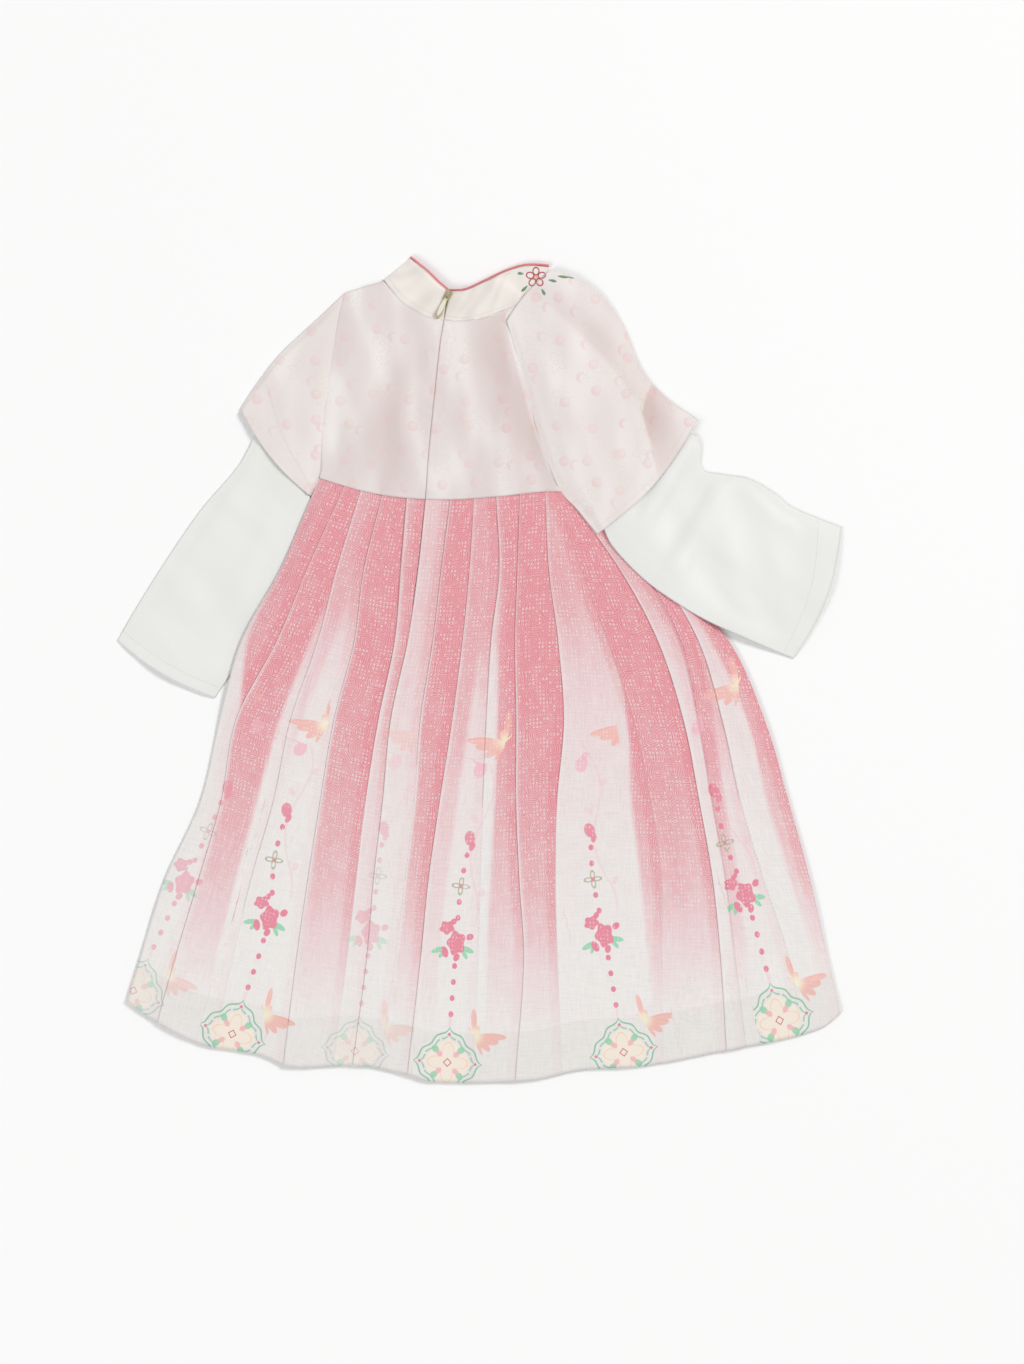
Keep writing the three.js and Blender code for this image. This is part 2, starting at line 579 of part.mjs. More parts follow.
function toManifold(geometry) {
  const bare = geometry.index ? geometry.toNonIndexed() : geometry.clone();
  const shape = new THREE.BufferGeometry().setAttribute("position", bare.getAttribute("position"));
  const merged = mergeVertices(shape, 1e-3);
  return new wasm.Manifold(
    new wasm.Mesh({
      numProp: 3,
      vertProperties: merged.attributes.position.array,
      triVerts: new Uint32Array(merged.index.array),
    }),
  );
}

function joined(geometries) {
  const solid = geometries.map(toManifold).reduce((sum, next) => sum.add(next));
  const mesh = solid.getMesh();
  const geometry = new THREE.BufferGeometry();
  geometry.setAttribute("position", new THREE.BufferAttribute(mesh.vertProperties, 3));
  geometry.setIndex(new THREE.BufferAttribute(mesh.triVerts, 1));
  geometry.computeVertexNormals();
  return geometry;
}

// Slider body with the bridge that holds the tab's pin.  Its own y runs up the zip, and its
// origin is the pin's axis, which lies along x.
function zipSlider() {
  const body = new THREE.BoxGeometry(SLIDER.width, SLIDER.length, SLIDER.height);
  body.translate(0, 0, -PIN.height - SLIDER.height / 2);
  const foot = -PIN.height - BRIDGE.sunk;
  const arch = new THREE.Shape();
  arch.moveTo(BRIDGE.outer, foot);
  arch.lineTo(BRIDGE.outer, 0);
  arch.absarc(0, 0, BRIDGE.outer, 0, Math.PI, false);
  arch.lineTo(-BRIDGE.outer, foot);
  arch.lineTo(-BRIDGE.inner, foot);
  arch.lineTo(-BRIDGE.inner, 0);
  arch.absarc(0, 0, BRIDGE.inner, Math.PI, 0, true);
  arch.lineTo(BRIDGE.inner, foot);
  const width = BRIDGE.halfWidth * 2;
  const bridge = new THREE.ExtrudeGeometry(arch, { depth: width, bevelEnabled: false, curveSegments: 10 });
  bridge.translate(0, 0, -BRIDGE.halfWidth);
  bridge.rotateX(Math.PI / 2);
  bridge.rotateZ(Math.PI / 2);
  return joined([body, bridge]);
}

// Pull tab: a drop-shaped plate that narrows to two arms and the pin between them.  It points
// along -y from the pin's axis, which lies along x.
function zipPull() {
  const arm = TAB.armOuter;
  const half = TAB.width / 2;
  const plate = new THREE.Shape();
  plate.moveTo(-arm, PIN.radius);
  plate.lineTo(-arm, -TAB.hole * 1.5);
  plate.lineTo(-half, -TAB.length + half * 1.6);
  plate.absarc(0, -TAB.length + half, half, Math.PI, Math.PI * 2, false);
  plate.lineTo(arm, -TAB.hole * 1.5);
  plate.lineTo(arm, PIN.radius);
  const slot = new THREE.Path();
  const inner = BRIDGE.halfWidth + PIN.clear;
  slot.moveTo(-inner, -PIN.radius * 0.5);
  slot.lineTo(inner, -PIN.radius * 0.5);
  slot.lineTo(inner, -TAB.hole);
  slot.lineTo(-inner, -TAB.hole);
  plate.holes.push(slot);
  const sheet = new THREE.ExtrudeGeometry(plate, {
    depth: TAB.thickness,
    bevelEnabled: false,
    curveSegments: 10,
  });
  sheet.translate(0, 0, -TAB.thickness / 2);
  const pin = new THREE.CylinderGeometry(PIN.radius, PIN.radius, arm * 2, 14);
  pin.rotateZ(Math.PI / 2);
  return joined([sheet, pin]);
}

// ---- sleeves ----------------------------------------------------------------------------
// Height of the lowest layer of the right sleeve over the bodice, the skirt and the plane.
function bedRight(x, y) {
  const levels = BED.map(row => row.y);
  const edge = through(levels, BED.map(row => row.x), y);
  const height = through(levels, BED.map(row => row.height), y);
  return mix(FRONT_Z, height, 1 - ease(((x - edge) * 0.8 - 2) / BED_RAMP));
}

const bedLeft = () => FRONT_Z;

// Flattened tube through a sleeve's sections.
function sleeveTube(rows, bedAt, shares, stages) {
  const toLeft = rows[0].outer[0] > rows[rows.length - 1].outer[0] ? 1 : -1;
  const column = (name, at) => through(rows.map((_, i) => i), rows.map(row => row[name]), at);
  const alongs = [];
  const sections = stages.map(at => {
    const under = onLine(rows.map(row => row.under), at / (rows.length - 1));
    const outer = onLine(rows.map(row => row.outer), at / (rows.length - 1));
    const length = Math.hypot(outer[0] - under[0], outer[1] - under[1]);
    const along = point((outer[0] - under[0]) / length, (outer[1] - under[1]) / length, 0);
    alongs.push(along);
    const placed = shares.map(share => {
      const [x, y] = bowed(under, outer, column("bow", at) * toLeft, share);
      const lower = bedAt(x, y) + column("lift", at);
      const swell = column("swell", at) * Math.sin(Math.PI * share) ** 2;
      return { lower: point(x, y, lower), upper: point(x, y, lower + column("room", at) + swell) };
    });
    return [...placed.map(p => p.lower), ...placed.map(p => p.upper).reverse()];
  });
  return cloth(sections, i => alongs[i], true);
}

const SLEEVE_SHARES = [0, 0.07, 0.2, 0.34, 0.48, 0.62, 0.76, 0.9, 1];
const stagesOf = (rows, parts) =>
  Array.from({ length: (rows.length - 1) * parts + 1 }, (_, i) => i / parts);

// ---- assembly ---------------------------------------------------------------------------
const dress = new THREE.Group();

function add(name, geometry, look, parent = dress) {
  const mesh = new THREE.Mesh(geometry, new THREE.MeshStandardMaterial({ ...MATERIALS[look] }));
  mesh.name = name;
  parent.add(mesh);
  return mesh;
}

add("skirt_front", skirtFront(), "skirt");
add("lining_back", liningBack(), "lining");
add("skirt_back_left", skirtBackLeft(), "skirt");
add("skirt_back_right", skirtBackRight(), "skirt");
add("bodice_front", bodiceFront(), "bodice");
add("bodice_back_left", bodiceBackLeft(), "bodice");
add("bodice_back_right", bodiceBackRight(), "bodice");
add("sleeve_left", sleeveTube(SLEEVE_LEFT, bedLeft, SLEEVE_SHARES, stagesOf(SLEEVE_LEFT, 1)), "sleeve");
add("sleeve_right", sleeveTube(SLEEVE_RIGHT, bedRight, SLEEVE_SHARES, stagesOf(SLEEVE_RIGHT, 1)), "sleeve");
add(
  "over_sleeve_left",
  sleeveTube(OVER_SLEEVE_LEFT, bedLeft, SLEEVE_SHARES, stagesOf(OVER_SLEEVE_LEFT, 1)),
  "bodice",
);
add(
  "over_sleeve_right",
  sleeveTube(OVER_SLEEVE_RIGHT, bedRight, SLEEVE_SHARES, stagesOf(OVER_SLEEVE_RIGHT, 1)),
  "bodice",
);
add("collar", collar(), "collar");
add("piping", piping(), "piping");
add("zip_chain", zipChain(), "zip");

const zipHead = new THREE.Group();
zipHead.position.set(zipX(SLIDER_Y), SLIDER_Y, pinZ);
dress.add(zipHead);
const slider = add("zip_slider", zipSlider(), "zip", zipHead);
const pull = add("zip_pull", zipPull(), "zip", zipHead);
for (const piece of [slider, pull]) piece.rotation.z = -THREE.MathUtils.degToRad(TAB_TURN);
pull.rotation.order = "ZXY";
pull.rotation.x = THREE.MathUtils.degToRad(TAB.droop);

dress.updateMatrixWorld(true);
const reach = new THREE.Box3().setFromObject(dress, true);
const middle = reach.getCenter(new THREE.Vector3());
dress.position.set(-middle.x, -middle.y, -reach.min.z);

export default dress;
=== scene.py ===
import math

import bmesh
import bpy
from mathutils import Matrix, Vector, noise
from mathutils.bvhtree import BVHTree


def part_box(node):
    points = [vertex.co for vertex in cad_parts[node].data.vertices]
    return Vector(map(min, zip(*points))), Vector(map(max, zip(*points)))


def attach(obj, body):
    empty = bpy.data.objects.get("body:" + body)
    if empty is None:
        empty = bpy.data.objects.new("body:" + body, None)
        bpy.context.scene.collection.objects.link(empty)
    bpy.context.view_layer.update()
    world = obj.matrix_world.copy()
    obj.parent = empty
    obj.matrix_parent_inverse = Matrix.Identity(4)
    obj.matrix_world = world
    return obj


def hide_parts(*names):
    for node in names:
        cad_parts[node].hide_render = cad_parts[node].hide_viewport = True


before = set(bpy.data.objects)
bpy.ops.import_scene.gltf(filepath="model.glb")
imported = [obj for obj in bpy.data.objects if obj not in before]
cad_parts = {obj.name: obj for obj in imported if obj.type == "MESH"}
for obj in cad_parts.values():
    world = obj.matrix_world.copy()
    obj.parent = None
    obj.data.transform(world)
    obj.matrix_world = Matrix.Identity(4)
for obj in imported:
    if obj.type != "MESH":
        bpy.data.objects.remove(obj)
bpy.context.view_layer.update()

bl_info = {
    "name": "Girl's hanfu dress",
    "version": (1, 0, 0),
    "blender": (4, 5, 0),
    "location": "3D View > Sidebar > Dress",
    "description": "Cloth, print, embroidery and stage of a girl's hanfu dress laid flat",
    "category": "Add Mesh",
}

# ---- drawing of the dress, in millimetres -------------------------------------------------
# Points are [x, y] on the plane the dress lies on: the middle of the back waist seam is near
# [0, 0], +X runs to the wearer's right and +Y towards the collar.
LAYER = 1.4            # pitch of cloth layers that lie on each other
SEAM_HALF = 0.25       # half the gap between bodice and skirt at the waist
FRONT_Z = 0.5          # middle of a layer that lies on the plane
LINING_Z = 3.05        # middle of the skirt lining
BACK_Z = 4.5           # middle of the back skirt between its pleats
SIDE_Z = 1.9           # middle of a back layer at a side seam
SIDE_RAMP = 16         # how far in from there it rises to the others' height
LINING_INSET = 19      # from the skirt's side seam to the lining's
LINING_SHORT = 44      # and from its hem up to the lining's
SLEEVE_LIFT = 2.2      # how far the left sleeve lifts the skirt that lies on it
LIFT_INSET, LIFT_RAMP = 13, 22 # how far in from the side it ends, and over how much
LIFT_TOP, LIFT_END = 14, -178  # where it ends above and below
CHAIN_HALF = 1         # half the width of the zip's chain
ZIP_TOP_Y = 180        # and its two ends
ZIP_END_Y = -98
ZIP_LIPS = 0.16        # from the zip's middle to the cloth that hides it
LIP_LAP = 0.4          # how far the skirt's right edge laps back over the zip
UNDER_CENTRE = 3.5     # and its left panel under the right one below the zip

WAIST = [(-95, 16), (-59, 5), (-25, -1), (19, -3), (63, 0), (104, 4), (146, 3)]
HEM = [
    (-265, -444), (-238, -463), (-200, -482), (-150, -491), (-121, -502), (-61, -501),
    (-18, -509), (4, -515), (91, -514), (134, -505), (193, -501), (256, -489), (302, -480),
    (347, -468), (362, -456),
]
LEVELS = (0, -65, -127, -197, -268, -338, -408, -505)
SKIRT_LEFT = (-102, -130, -164, -183, -200, -232, -254, -282)
SKIRT_RIGHT = (146, 209, 264, 296, 317, 336, 352, 374)
PLEAT_STAGES = (0, 1 / 3, 2 / 3, 1)
# Knife pleats: x of the fold's edge at each level, then at four stages down the skirt how far
# the cloth runs back under it and its height.  A tuck below zero is a pleat that has opened.
PLEATS_LEFT = [
    ((-78, -107, -133, -169, -182, -202, -223, -250), (12, 10, 8, 5), (3, 5, 5, 4)),
    ((-61, -81, -97, -121, -136, -156, -172, -193), (12, 9, 3, -8), (3, 4.6, 4.2, 1.2)),
    ((-41, -57, -65, -83, -95, -106, -116, -128), (12, 10, 8, 5), (3, 5.2, 5.4, 4.4)),
    ((-20, -25, -30, -44, -55, -63, -71, -84), (12, 6, -4, -8), (3, 4.2, 1.8, 0.8)),
]
CENTRE = ((-2, -9, -18, -33, -40, -48, -54, -67), (8, 8, 7, 5), (3.2, 4.6, 4.8, 4))
PLEATS_RIGHT = [
    ((19, 11, 4, -7, -12, -20, -28, -42), (12, 4, -6, -8), (3, 4.2, 1.4, 0.8)),
    ((40, 36, 30, 21, 10, 0, -7, -18), (12, 10, 9, 6), (3, 5.6, 6.4, 5.4)),
    ((59, 62, 55, 51, 48, 46, 44, 40), (12, 8, -5, -8), (3, 4.4, 1.8, 0.8)),
    ((80, 78, 76, 77, 77, 80, 84, 77), (12, 9, 6, 3), (3, 4.8, 4.6, 3.6)),
    ((103, 106, 114, 119, 113, 112, 114, 118), (7, 8, -5, -9), (3, 4.6, 2, 0.8)),
    ((113, 135, 158, 181, 196, 206, 206, 208), (-2, -8, -9, -9), (0.6, 1.4, 2.4, 1.6)),
    ((122, 168, 201, 224, 238, 250, 257, 263), (2, 6, 4, 3), (2.9, 4.4, 4.4, 3.4)),
    ((131, 188, 222, 238, 250, 262, 270, 282), (2, 4, 4, 3), (2.9, 4.2, 4.2, 3.2)),
    ((138, 199, 237, 258, 274, 295, 318, 334), (2, 6, -4, -8), (2.9, 4.2, 2.2, 1)),
]
FACES_RIGHT = PLEATS_RIGHT[7] # the one pleat that is folded the other way
FRONT_PLEATS = 9       # narrow pleats of the front, from a flat side this wide
FRONT_SIDE = 27
PRESSED = 0.02         # share of its height that a pleat keeps where it is pressed flat
CLOTH = 0.45           # pitch of the layers folded in a pleat
WAIST_RISE = 0.8       # how far the skirt's cloth rises into its waist seam

ZIP = [(0, -2), (41, 1), (90, 6), (136, 11), (154, 14), (179, 18)]
ZIP_HEIGHTS = ((-98, -26, -6, 5, 20, 90, 156, 180), (4.15, 4.2, 5, 6.3, 6.6, 5.4, 3.5, 3.4))
ARMHOLE_LEFT = dict(under=(-95, 16), outer=(-74, 178), bow=3.4)
SHOULDER_LEFT = [(-74, 178), (-57, 183.5), (-42, 187.5), (-37.6, 187.4)]
SIDE_RIGHT = [(146, 3), (130, 32), (118, 82), (112, 130), (112, 172)]
SHOULDER_RIGHT = [(90.6, 177.6), (112, 172)]
BODICE_HEIGHTS = ((2.2, 6.6, 6.8), (4.7, 5.8, 5.6), (2, 2.6, 3.4))

COLLAR_LEFT = dict(
    seam=[(13.7, 155.5), (2, 158), (-9, 163.5), (-23, 173), (-36, 189)],
    top=[(17.3, 180), (8, 188), (0, 196), (-8, 202.5), (-15, 208)],
)
COLLAR_RIGHT = dict(
    seam=[(14.6, 156), (32, 154), (50, 158), (69, 164.5), (81, 171.5), (91, 180)],
    top=[(18.9, 179.5), (33, 180.5), (50, 188), (69, 197), (87, 202), (105, 201)],
)
COLLAR_FRONT_DROP = 3  # how much lower its front lies than its back
COLLAR_BACK_Z = 3.4    # its height at the zip
COLLAR_FOLD_Z = 2.7    # and near the folds at its sides
PIPING_RADIUS = 0.9
PIPING_FOLD_Z = 1.7    # height of the cord at those folds
TAB_TURN = -26.6       # degrees the zip's pull tab hangs off straight down

# Sleeves, a row for each section along the arm: its two folded sides, under and outer, the bow
# of its middle, height over what it lies on, room between its layers and how far they swell.
SLEEVE_LEFT = [
    ((-102.5, 12), (-106, 138), 1, 1.3, 1.6, 0),
    ((-105.5, 3), (-134, 92), 2, 1.1, 1.6, 0),
    ((-103.5, -8), (-157, 43), 3, 0.8, 1.6, 0.4),
    ((-114, -40), (-171, 21), 3, 0, 1.6, 1),
    ((-128, -76), (-201, -14), 3, 0, 1.6, 1.4),
    ((-150, -116), (-235, -64), 3, 0, 1.6, 1.4),
    ((-170, -151), (-258, -101), 4, 0, 1.6, 1.6),
    ((-188, -178), (-273, -127), 5, 0, 1.6, 1.8),
]
SLEEVE_RIGHT = [
    ((127, 16), (152, 114), 0, 1.9, 1.6, 0),
    ((140, -5), (181, 86), 2, 1.6, 1.6, 0),
    ((153.5, -27), (228, 57), 4, 1.5, 1.6, 0.4),
    ((162, -44), (239.5, 46), 6, 0.7, 1.6, 0.8),
    ((183, -67), (241, 24), 4, 0, 1.6, 1.2),
    ((205, -85), (258, 19), 2, 0, 1.6, 2),
    ((240, -107), (282, 15), 1, 0, 1.6, 2.4),
    ((272, -122), (305, 2), 1, 0, 1.6, 2.2),
    ((300, -134), (322, -11), 1, 0, 1.6, 2),
    ((322, -143), (364, -28), 9, 0, 1.6, 1.8),
]
OVER_SLEEVE_LEFT = [
    ((-95, 15.2), (-73.6, 178), 3.4, 0.4, 0.9, 2.6),
    ((-96, 11), (-97, 156), 0, 0, 4.4, 0),
    ((-98, 6), (-129, 126), 2, 0, 4.4, 0.4),
    ((-100, 2), (-149, 101), 4, 0, 4.4, 0.6),
    ((-102.5, -1), (-165, 77), 6, 0, 4.4, 0.8),
]
OVER_SLEEVE_RIGHT = [
    ((69.5, 154), (108.5, 199), -3, -0.6, 0.5, 0.2),
    ((77, 128), (131, 190), 0, 0, 1.6, 0.6),
    ((87, 92), (154, 175), 2, 0, 2.4, 0.8),
    ((99, 48), (172, 149), 4, 0, 5.2, 0.8),
    ((115, 7), (189, 110), 6, 0, 5.2, 1),
    ((131, -12), (210, 86), 8, 0, 5.2, 1),
    ((149, -34), (237, 67), 9, 0, 5.2, 1),
]
# What the right sleeve lies on: y, x of the bodice's or skirt's edge there, height of the bed.
BED = [
    (205, 106, 3.6), (172, 112, 4.4), (130, 112, 5.8), (82, 118, 6), (32, 130, 6.1),
    (3, 146, 6.2), (-62, 208, 6.1), (-121, 261, 5.9), (-145, 273, 5.5),
]
BED_RAMP = 44          # how far out from that edge it takes to reach the plane
EDGE_SUNK = 1.7        # how far its over-sleeve's near edge presses into the bodice

# ---- numbers and lines --------------------------------------------------------------------
def mix(a, b, t):
    return a + (b - a) * t


def clamp01(t):
    return min(1.0, max(0.0, t))


def ease(t):
    t = clamp01(t)
    return t * t * (3 - 2 * t)


def through(places, values, at):
    """Value at `at` of the smooth curve through values[i] at places[i]."""
    last = len(places) - 1
    falling = places[0] > places[last]
    i = 0
    while i < last - 1 and (at < places[i + 1] if falling else at > places[i + 1]):
        i += 1

    def slope(k):
        a, b = max(0, k - 1), min(last, k + 1)
        return (values[b] - values[a]) / (places[b] - places[a])

    step = places[i + 1] - places[i]
    t = (at - places[i]) / step
    if t < 0:
        return values[i] + slope(i) * (at - places[i])
    if t > 1:
        return values[i + 1] + slope(i + 1) * (at - places[i + 1])
    bend = t * (1 - t)
    curve = bend * step * (slope(i) * (1 - t) - slope(i + 1) * t)
    return mix(values[i], values[i + 1], t * t * (3 - 2 * t)) + curve


def curve_of(line):
    places = [p[0] for p in line]
    values = [p[1] for p in line]
    return lambda at: through(places, values, at)


waist_y = curve_of(WAIST)
hem_y = curve_of(HEM)
zip_over_bodice = curve_of(ZIP)


def at_levels(values):
    return lambda y: through(LEVELS, values, y)


skirt_left = at_levels(SKIRT_LEFT)
skirt_right = at_levels(SKIRT_RIGHT)
centre_x = at_levels(CENTRE[0])


def zip_x(y):
    return centre_x(y) if y < 0 else zip_over_bodice(y)


def zip_z(y):
    return through(*ZIP_HEIGHTS, y)


def on_line(line, t):
    """Point a share t along a line of points, with its corners rounded."""
    places = range(len(line))
    at = t * (len(line) - 1)
    return [through(places, [p[axis] for p in line], at) for axis in (0, 1)]


def bowed(under, outer, bow, v):
    dx, dy = outer[0] - under[0], outer[1] - under[1]
    out = bow * math.sin(math.pi * v) / math.hypot(dx, dy)
    return under[0] + dx * v - dy * out, under[1] + dy * v + dx * out


# The zip chain's box in the frame shows where the drawing's origin lies there.
chain_high = Vector(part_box("zip_chain")[1])
ORIGIN = Vector((
    chain_high.x - (zip_over_bodice(ZIP_TOP_Y) + CHAIN_HALF) / 1000,
    chain_high.y - ZIP_TOP_Y / 1000,
    0,
))


def place(x, y, z):
    """A point of the drawing, in millimetres, as a point of the frame, in metres."""
    return Vector((x, y, z)) / 1000 + ORIGIN


# ---- skirt --------------------------------------------------------------------------------
def down_skirt(line_at, t, short=0):
    """Point a share t down the skirt from waist to hem, where the line x = line_at(y) runs."""
    x, y = line_at(mix(0, LEVELS[-1], t)), 0
    for _ in range(4):
        y = mix(waist_y(x) - SEAM_HALF, hem_y(x) + short, t)
        x = line_at(y)
    return x, y


def lift_at(x, y):
    """How far the left sleeve under the skirt's left side lifts it."""
    beside = 1 - ease((x - skirt_left(y) - LIFT_INSET) / LIFT_RAMP)
    over = ease((LIFT_TOP - y) / LIFT_RAMP) * (1 - ease((LIFT_END - y) / 40))
    return SLEEVE_LIFT * beside * over


def back_z(x, y):
    inside = min(x - skirt_left(y), skirt_right(y) - x)
    return mix(SIDE_Z, BACK_Z, ease(inside / SIDE_RAMP)) + lift_at(x, y)


def waist_inset(x):
    return ease(min(x - SKIRT_LEFT[0], SKIRT_RIGHT[0] - x) / 16)


def stop_at(pleat, t):
    """A pleat's fold at a share t down the skirt."""
    levels, tucks, rises = pleat
    x, _ = down_skirt(at_levels(levels), t)
    tuck, rise = (through(PLEAT_STAGES, values, t) for values in (tucks, rises))
    rise = mix(2 * CLOTH, rise, PRESSED) if tuck > 0 else rise * PRESSED
    return dict(x=x, tuck=tuck, rise=rise, side=-1 if pleat is FACES_RIGHT else 1)


# A key point of a skirt section: x, height over the panel, the strip it belongs to and how
# many steps the cloth takes from it to the next key point.
def pleat_keys(stop, strip):
    """The cloth's way from under a fold up to its edge."""
    reach, rise, side = stop["side"] * stop["tuck"], stop["rise"], stop["side"]
    if stop["tuck"] < 0:
        points = [(reach, 0), (reach * 0.67, rise / 3), (reach * 0.33, rise * 2 / 3), (0, rise)]
    else:
        points = [(reach, 0), (reach, CLOTH), (0, rise - CLOTH), (0, rise)]
    strips = (strip - 1, strip - 1, strip - 1, strip) if side > 0 else (strip,) * 4
    return [
        [stop["x"] + dx, dz, of_strip, steps]
        for (dx, dz), of_strip, steps in zip(points[::side], strips, (2, 4, 2, 0))
    ]


def between_keys(start, end, strip):
    """The cloth's way from one fold's edge to where it goes under the next."""
    x, width, rise = start["x"], end["x"] - start["x"], start["rise"]
    stop = end["x"] - max(1, width * 0.06) + min(0, end["tuck"])
    high = max(2 * CLOTH, rise * 0.85) if start["tuck"] > 0 else rise * 0.85
    if end.get("side", 1) < 0:
        line = [(x + width * 0.5, max(high, end["rise"] * 0.9))]
    elif start["side"] < 0:
        line = [(x + width * 0.4, 0.3), (stop, 0)]
    else:
        begin = x + max(width * 0.3, start["tuck"] + 1)
        line = [(begin, high), (mix(begin, stop, 0.5), high * 0.45), (stop, 0)]
    return flat_keys(line, strip)


def flat_keys(line, strip):
    return [[x, z, strip, 0] for x, z in line]


def over_pleats(stops, end, strip):
    keys = []
    for k, (stop, following) in enumerate(zip(stops, [*stops[1:], end])):
        keys += pleat_keys(stop, strip + k) + between_keys(stop, following, strip + k)
    return keys


def left_keys(t):
    left, _ = down_skirt(skirt_left, t)
    centre, y = down_skirt(centre_x, t)
    stops = [stop_at(pleat, t) for pleat in PLEATS_LEFT]
    end = dict(x=centre - ZIP_LIPS, tuck=0)
    seam = end["x"] if y > ZIP_END_Y else centre + UNDER_CENTRE
    first = stops[0]["x"]
    side = flat_keys([(left, 0), (mix(left, first, 0.45), 0.8), (first - 1.2, 0)], 0)
    return side + over_pleats(stops, end, 1) + [[seam, 0, 4, 0]]


def right_keys(t):
    stops = [stop_at(pleat, t) for pleat in [CENTRE, *PLEATS_RIGHT]]
    stops[0]["x"] += ZIP_LIPS - LIP_LAP
    right, _ = down_skirt(skirt_right, t)
    keys = over_pleats(stops, dict(x=right, tuck=0), 5)[1:]
    return keys + [[right, 0, 14, 0]]


def front_keys(t):
    left, right = down_skirt(skirt_left, t)[0] + 1, down_skirt(skirt_right, t)[0] - 1
    first = left + FRONT_SIDE
    keys = flat_keys([(left, 0), (left + 11, 0), (left + 19, 0)], 0)
    wide = (right - first) / FRONT_PLEATS
    for k in range(FRONT_PLEATS):
        x = first + wide * k
        tucked = 1.3 if k < FRONT_PLEATS - 1 else 0
        keys += flat_keys([(x, 0), (x + wide * 0.6, 0), (x + wide - 1.2, tucked)], k + 1)
    return keys + [[right, 0, FRONT_PLEATS, 0]]


def softened(points):
    """The points of a section, each moved towards its neighbours' middle."""
    middle = [
        [(a[0] + 2 * b[0] + c[0]) / 4, (a[1] + 2 * b[1] + c[1]) / 4, b[2]]
        for a, b, c in zip(points, points[1:], points[2:])
    ]
    return [points[0], *middle, points[-1]]


def fill_in(rows, step):
    """Sections of key points, cut into short steps and softened: each point x, z, strip."""
    ends = [rows[len(rows) * 2 // 5], rows[-1]]
    counts = []
    for i, key in enumerate(rows[0][:-1]):
        run = max(math.dist(row[i][:2], row[i + 1][:2]) for row in ends)
        counts.append(key[3] or max(2, math.ceil(run / step)))
    filled = []
    for row in rows:
        points = []
        for a, b, count in zip(row, row[1:], counts):
            shares = [k / count for k in range(count)]
            points += [[mix(a[0], b[0], t), mix(a[1], b[1], t), a[2]] for t in shares]
        points.append(row[-1][:3])
        for _ in range(3):
            points = softened(points)
        filled.append(points)
    return filled


# ---- skirt print --------------------------------------------------------------------------
# Each strip between two fold edges, from the left: its tone, or the tones of its left and right
# and x at each level of the line where one gives way to the other.  1 is the full pink.
TONES = [
    (0.1, 0.8, (-103, -131, -158, -166, -182, -203, -224, -252)),
    (0.95, 0.05, (-60, -80, -104, -130, -150, -168, -186, -205)),
    (0.42, 0.08, (-40, -62, -82, -110, -132, -146, -160, -178)),
    (0.95,), (0.55,), (0.36,), (0.95,),
    (0.62, 0.28, (56, 54, 47, 37, 27, 18, 11, 5)),
    (0.1, 0.85, (60, 64, 62, 61, 58, 54, 51, 48)),
    (1.05,),
    (0.38, 0.95, (118, 143, 163, 176, 179, 187, 194, 200)),
    (1,), (0.26,),
    (0.9, 0.5, (139, 198, 234, 250, 260, 272, 280, 290)),
    (0.25, 0.8, (140, 205, 248, 280, 297, 318, 338, 352)),
]
# How much of its tone a strip keeps at a height over the hem: full strips, then pale ones.
STRIPE_FADE = [
    (0, 0), (45, 0.03), (75, 0.15), (110, 0.31), (160, 0.5), (260, 0.74), (400, 0.94), (540, 1),
]
PALE_FADE = [(0, 0), (60, 0.02), (150, 0.12), (250, 0.35), (350, 0.75), (430, 1), (540, 1)]
WAIST_TONE = 0.64      # what the pale strips deepen to where they are gathered
WAIST_TONES = {5: 0.3} # and the strip that stays paler there
NO_EDGE = (11, 13)     # strips whose left side is no folded edge
stripe_fade = curve_of(STRIPE_FADE)
pale_fade = curve_of(PALE_FADE)


def tone_at(strip, x, y, from_edge, to_edge):
    """The stripe's tone, deepened by painted shade towards a fold that covers it (partly the
    doubled cloth there) and paled by a painted highlight along its own fold's edge.
    """
    tone, *other = TONES[strip]
    if other:
        tone = mix(tone, other[0], ease((x - through(LEVELS, other[1], y)) / 7 + 0.5))
    above_hem = y - hem_y(x)
    full = ease((tone - 0.4) / 0.3)
    gathered = ease((above_hem - 300) / 170)
    tone = mix(tone, max(tone, WAIST_TONES.get(strip, WAIST_TONE)), gathered * 0.85)
    printed = tone * mix(max(0, pale_fade(above_hem)), stripe_fade(above_hem), full)
    printed += 0.06 * ease((above_hem - 160) / 240)
    # Painted shade deepens the tone before the next fold (partly the doubled cloth under it); a
    # painted highlight pales it along this strip's fold edge.
    layers_and_painted_shade = 0.2 * ease((8.5 - to_edge) / 4 + 0.5) + 0.12 * math.exp(-to_edge / 3)
    painted_fold_highlight = mix(0.85, 0.5, gathered) * math.exp(-from_edge / 1.3)
    return max(0, printed * (1 + layers_and_painted_shade - painted_fold_highlight) + 0.3 * layers_and_painted_shade)


# Columns of flowers: points up each column's middle, from its medallion through its bunch, its
# loop and its lower bud to its upper bud, how strongly it shows and how far it is gathered above.
COLUMN_STATIONS = (0, 104, 154, 197, 255)
GATHERED = 26          # how far the folds draw in the print above the upper buds
COLUMNS = [
    ([(-259, -435), (-214, -340), (-193, -295), (-176, -256), (-154, -202)], 0.55, GATHERED),
    ([(-172, -473), (-139, -371), (-135, -320), (-124, -276), (-116, -222)], 1, GATHERED),
    ([(-64, -488), (-50, -384), (-44, -334), (-39, -292), (-33, -234)], 0.42, GATHERED),
    ([(17, -498), (25, -393), (29, -343), (37, -301), (42, -241)], 1, GATHERED),
    ([(172, -489), (155, -386), (145, -337), (142, -294), (131, -237)], 1, 0),
    ([(244, -444), (222, -342), (212, -293), (203, -250), (190, -195)], 0.08, 0),
    ([(309, -461), (279, -350), (261, -305), (251, -259), (233, -205)], 1, 0),
]
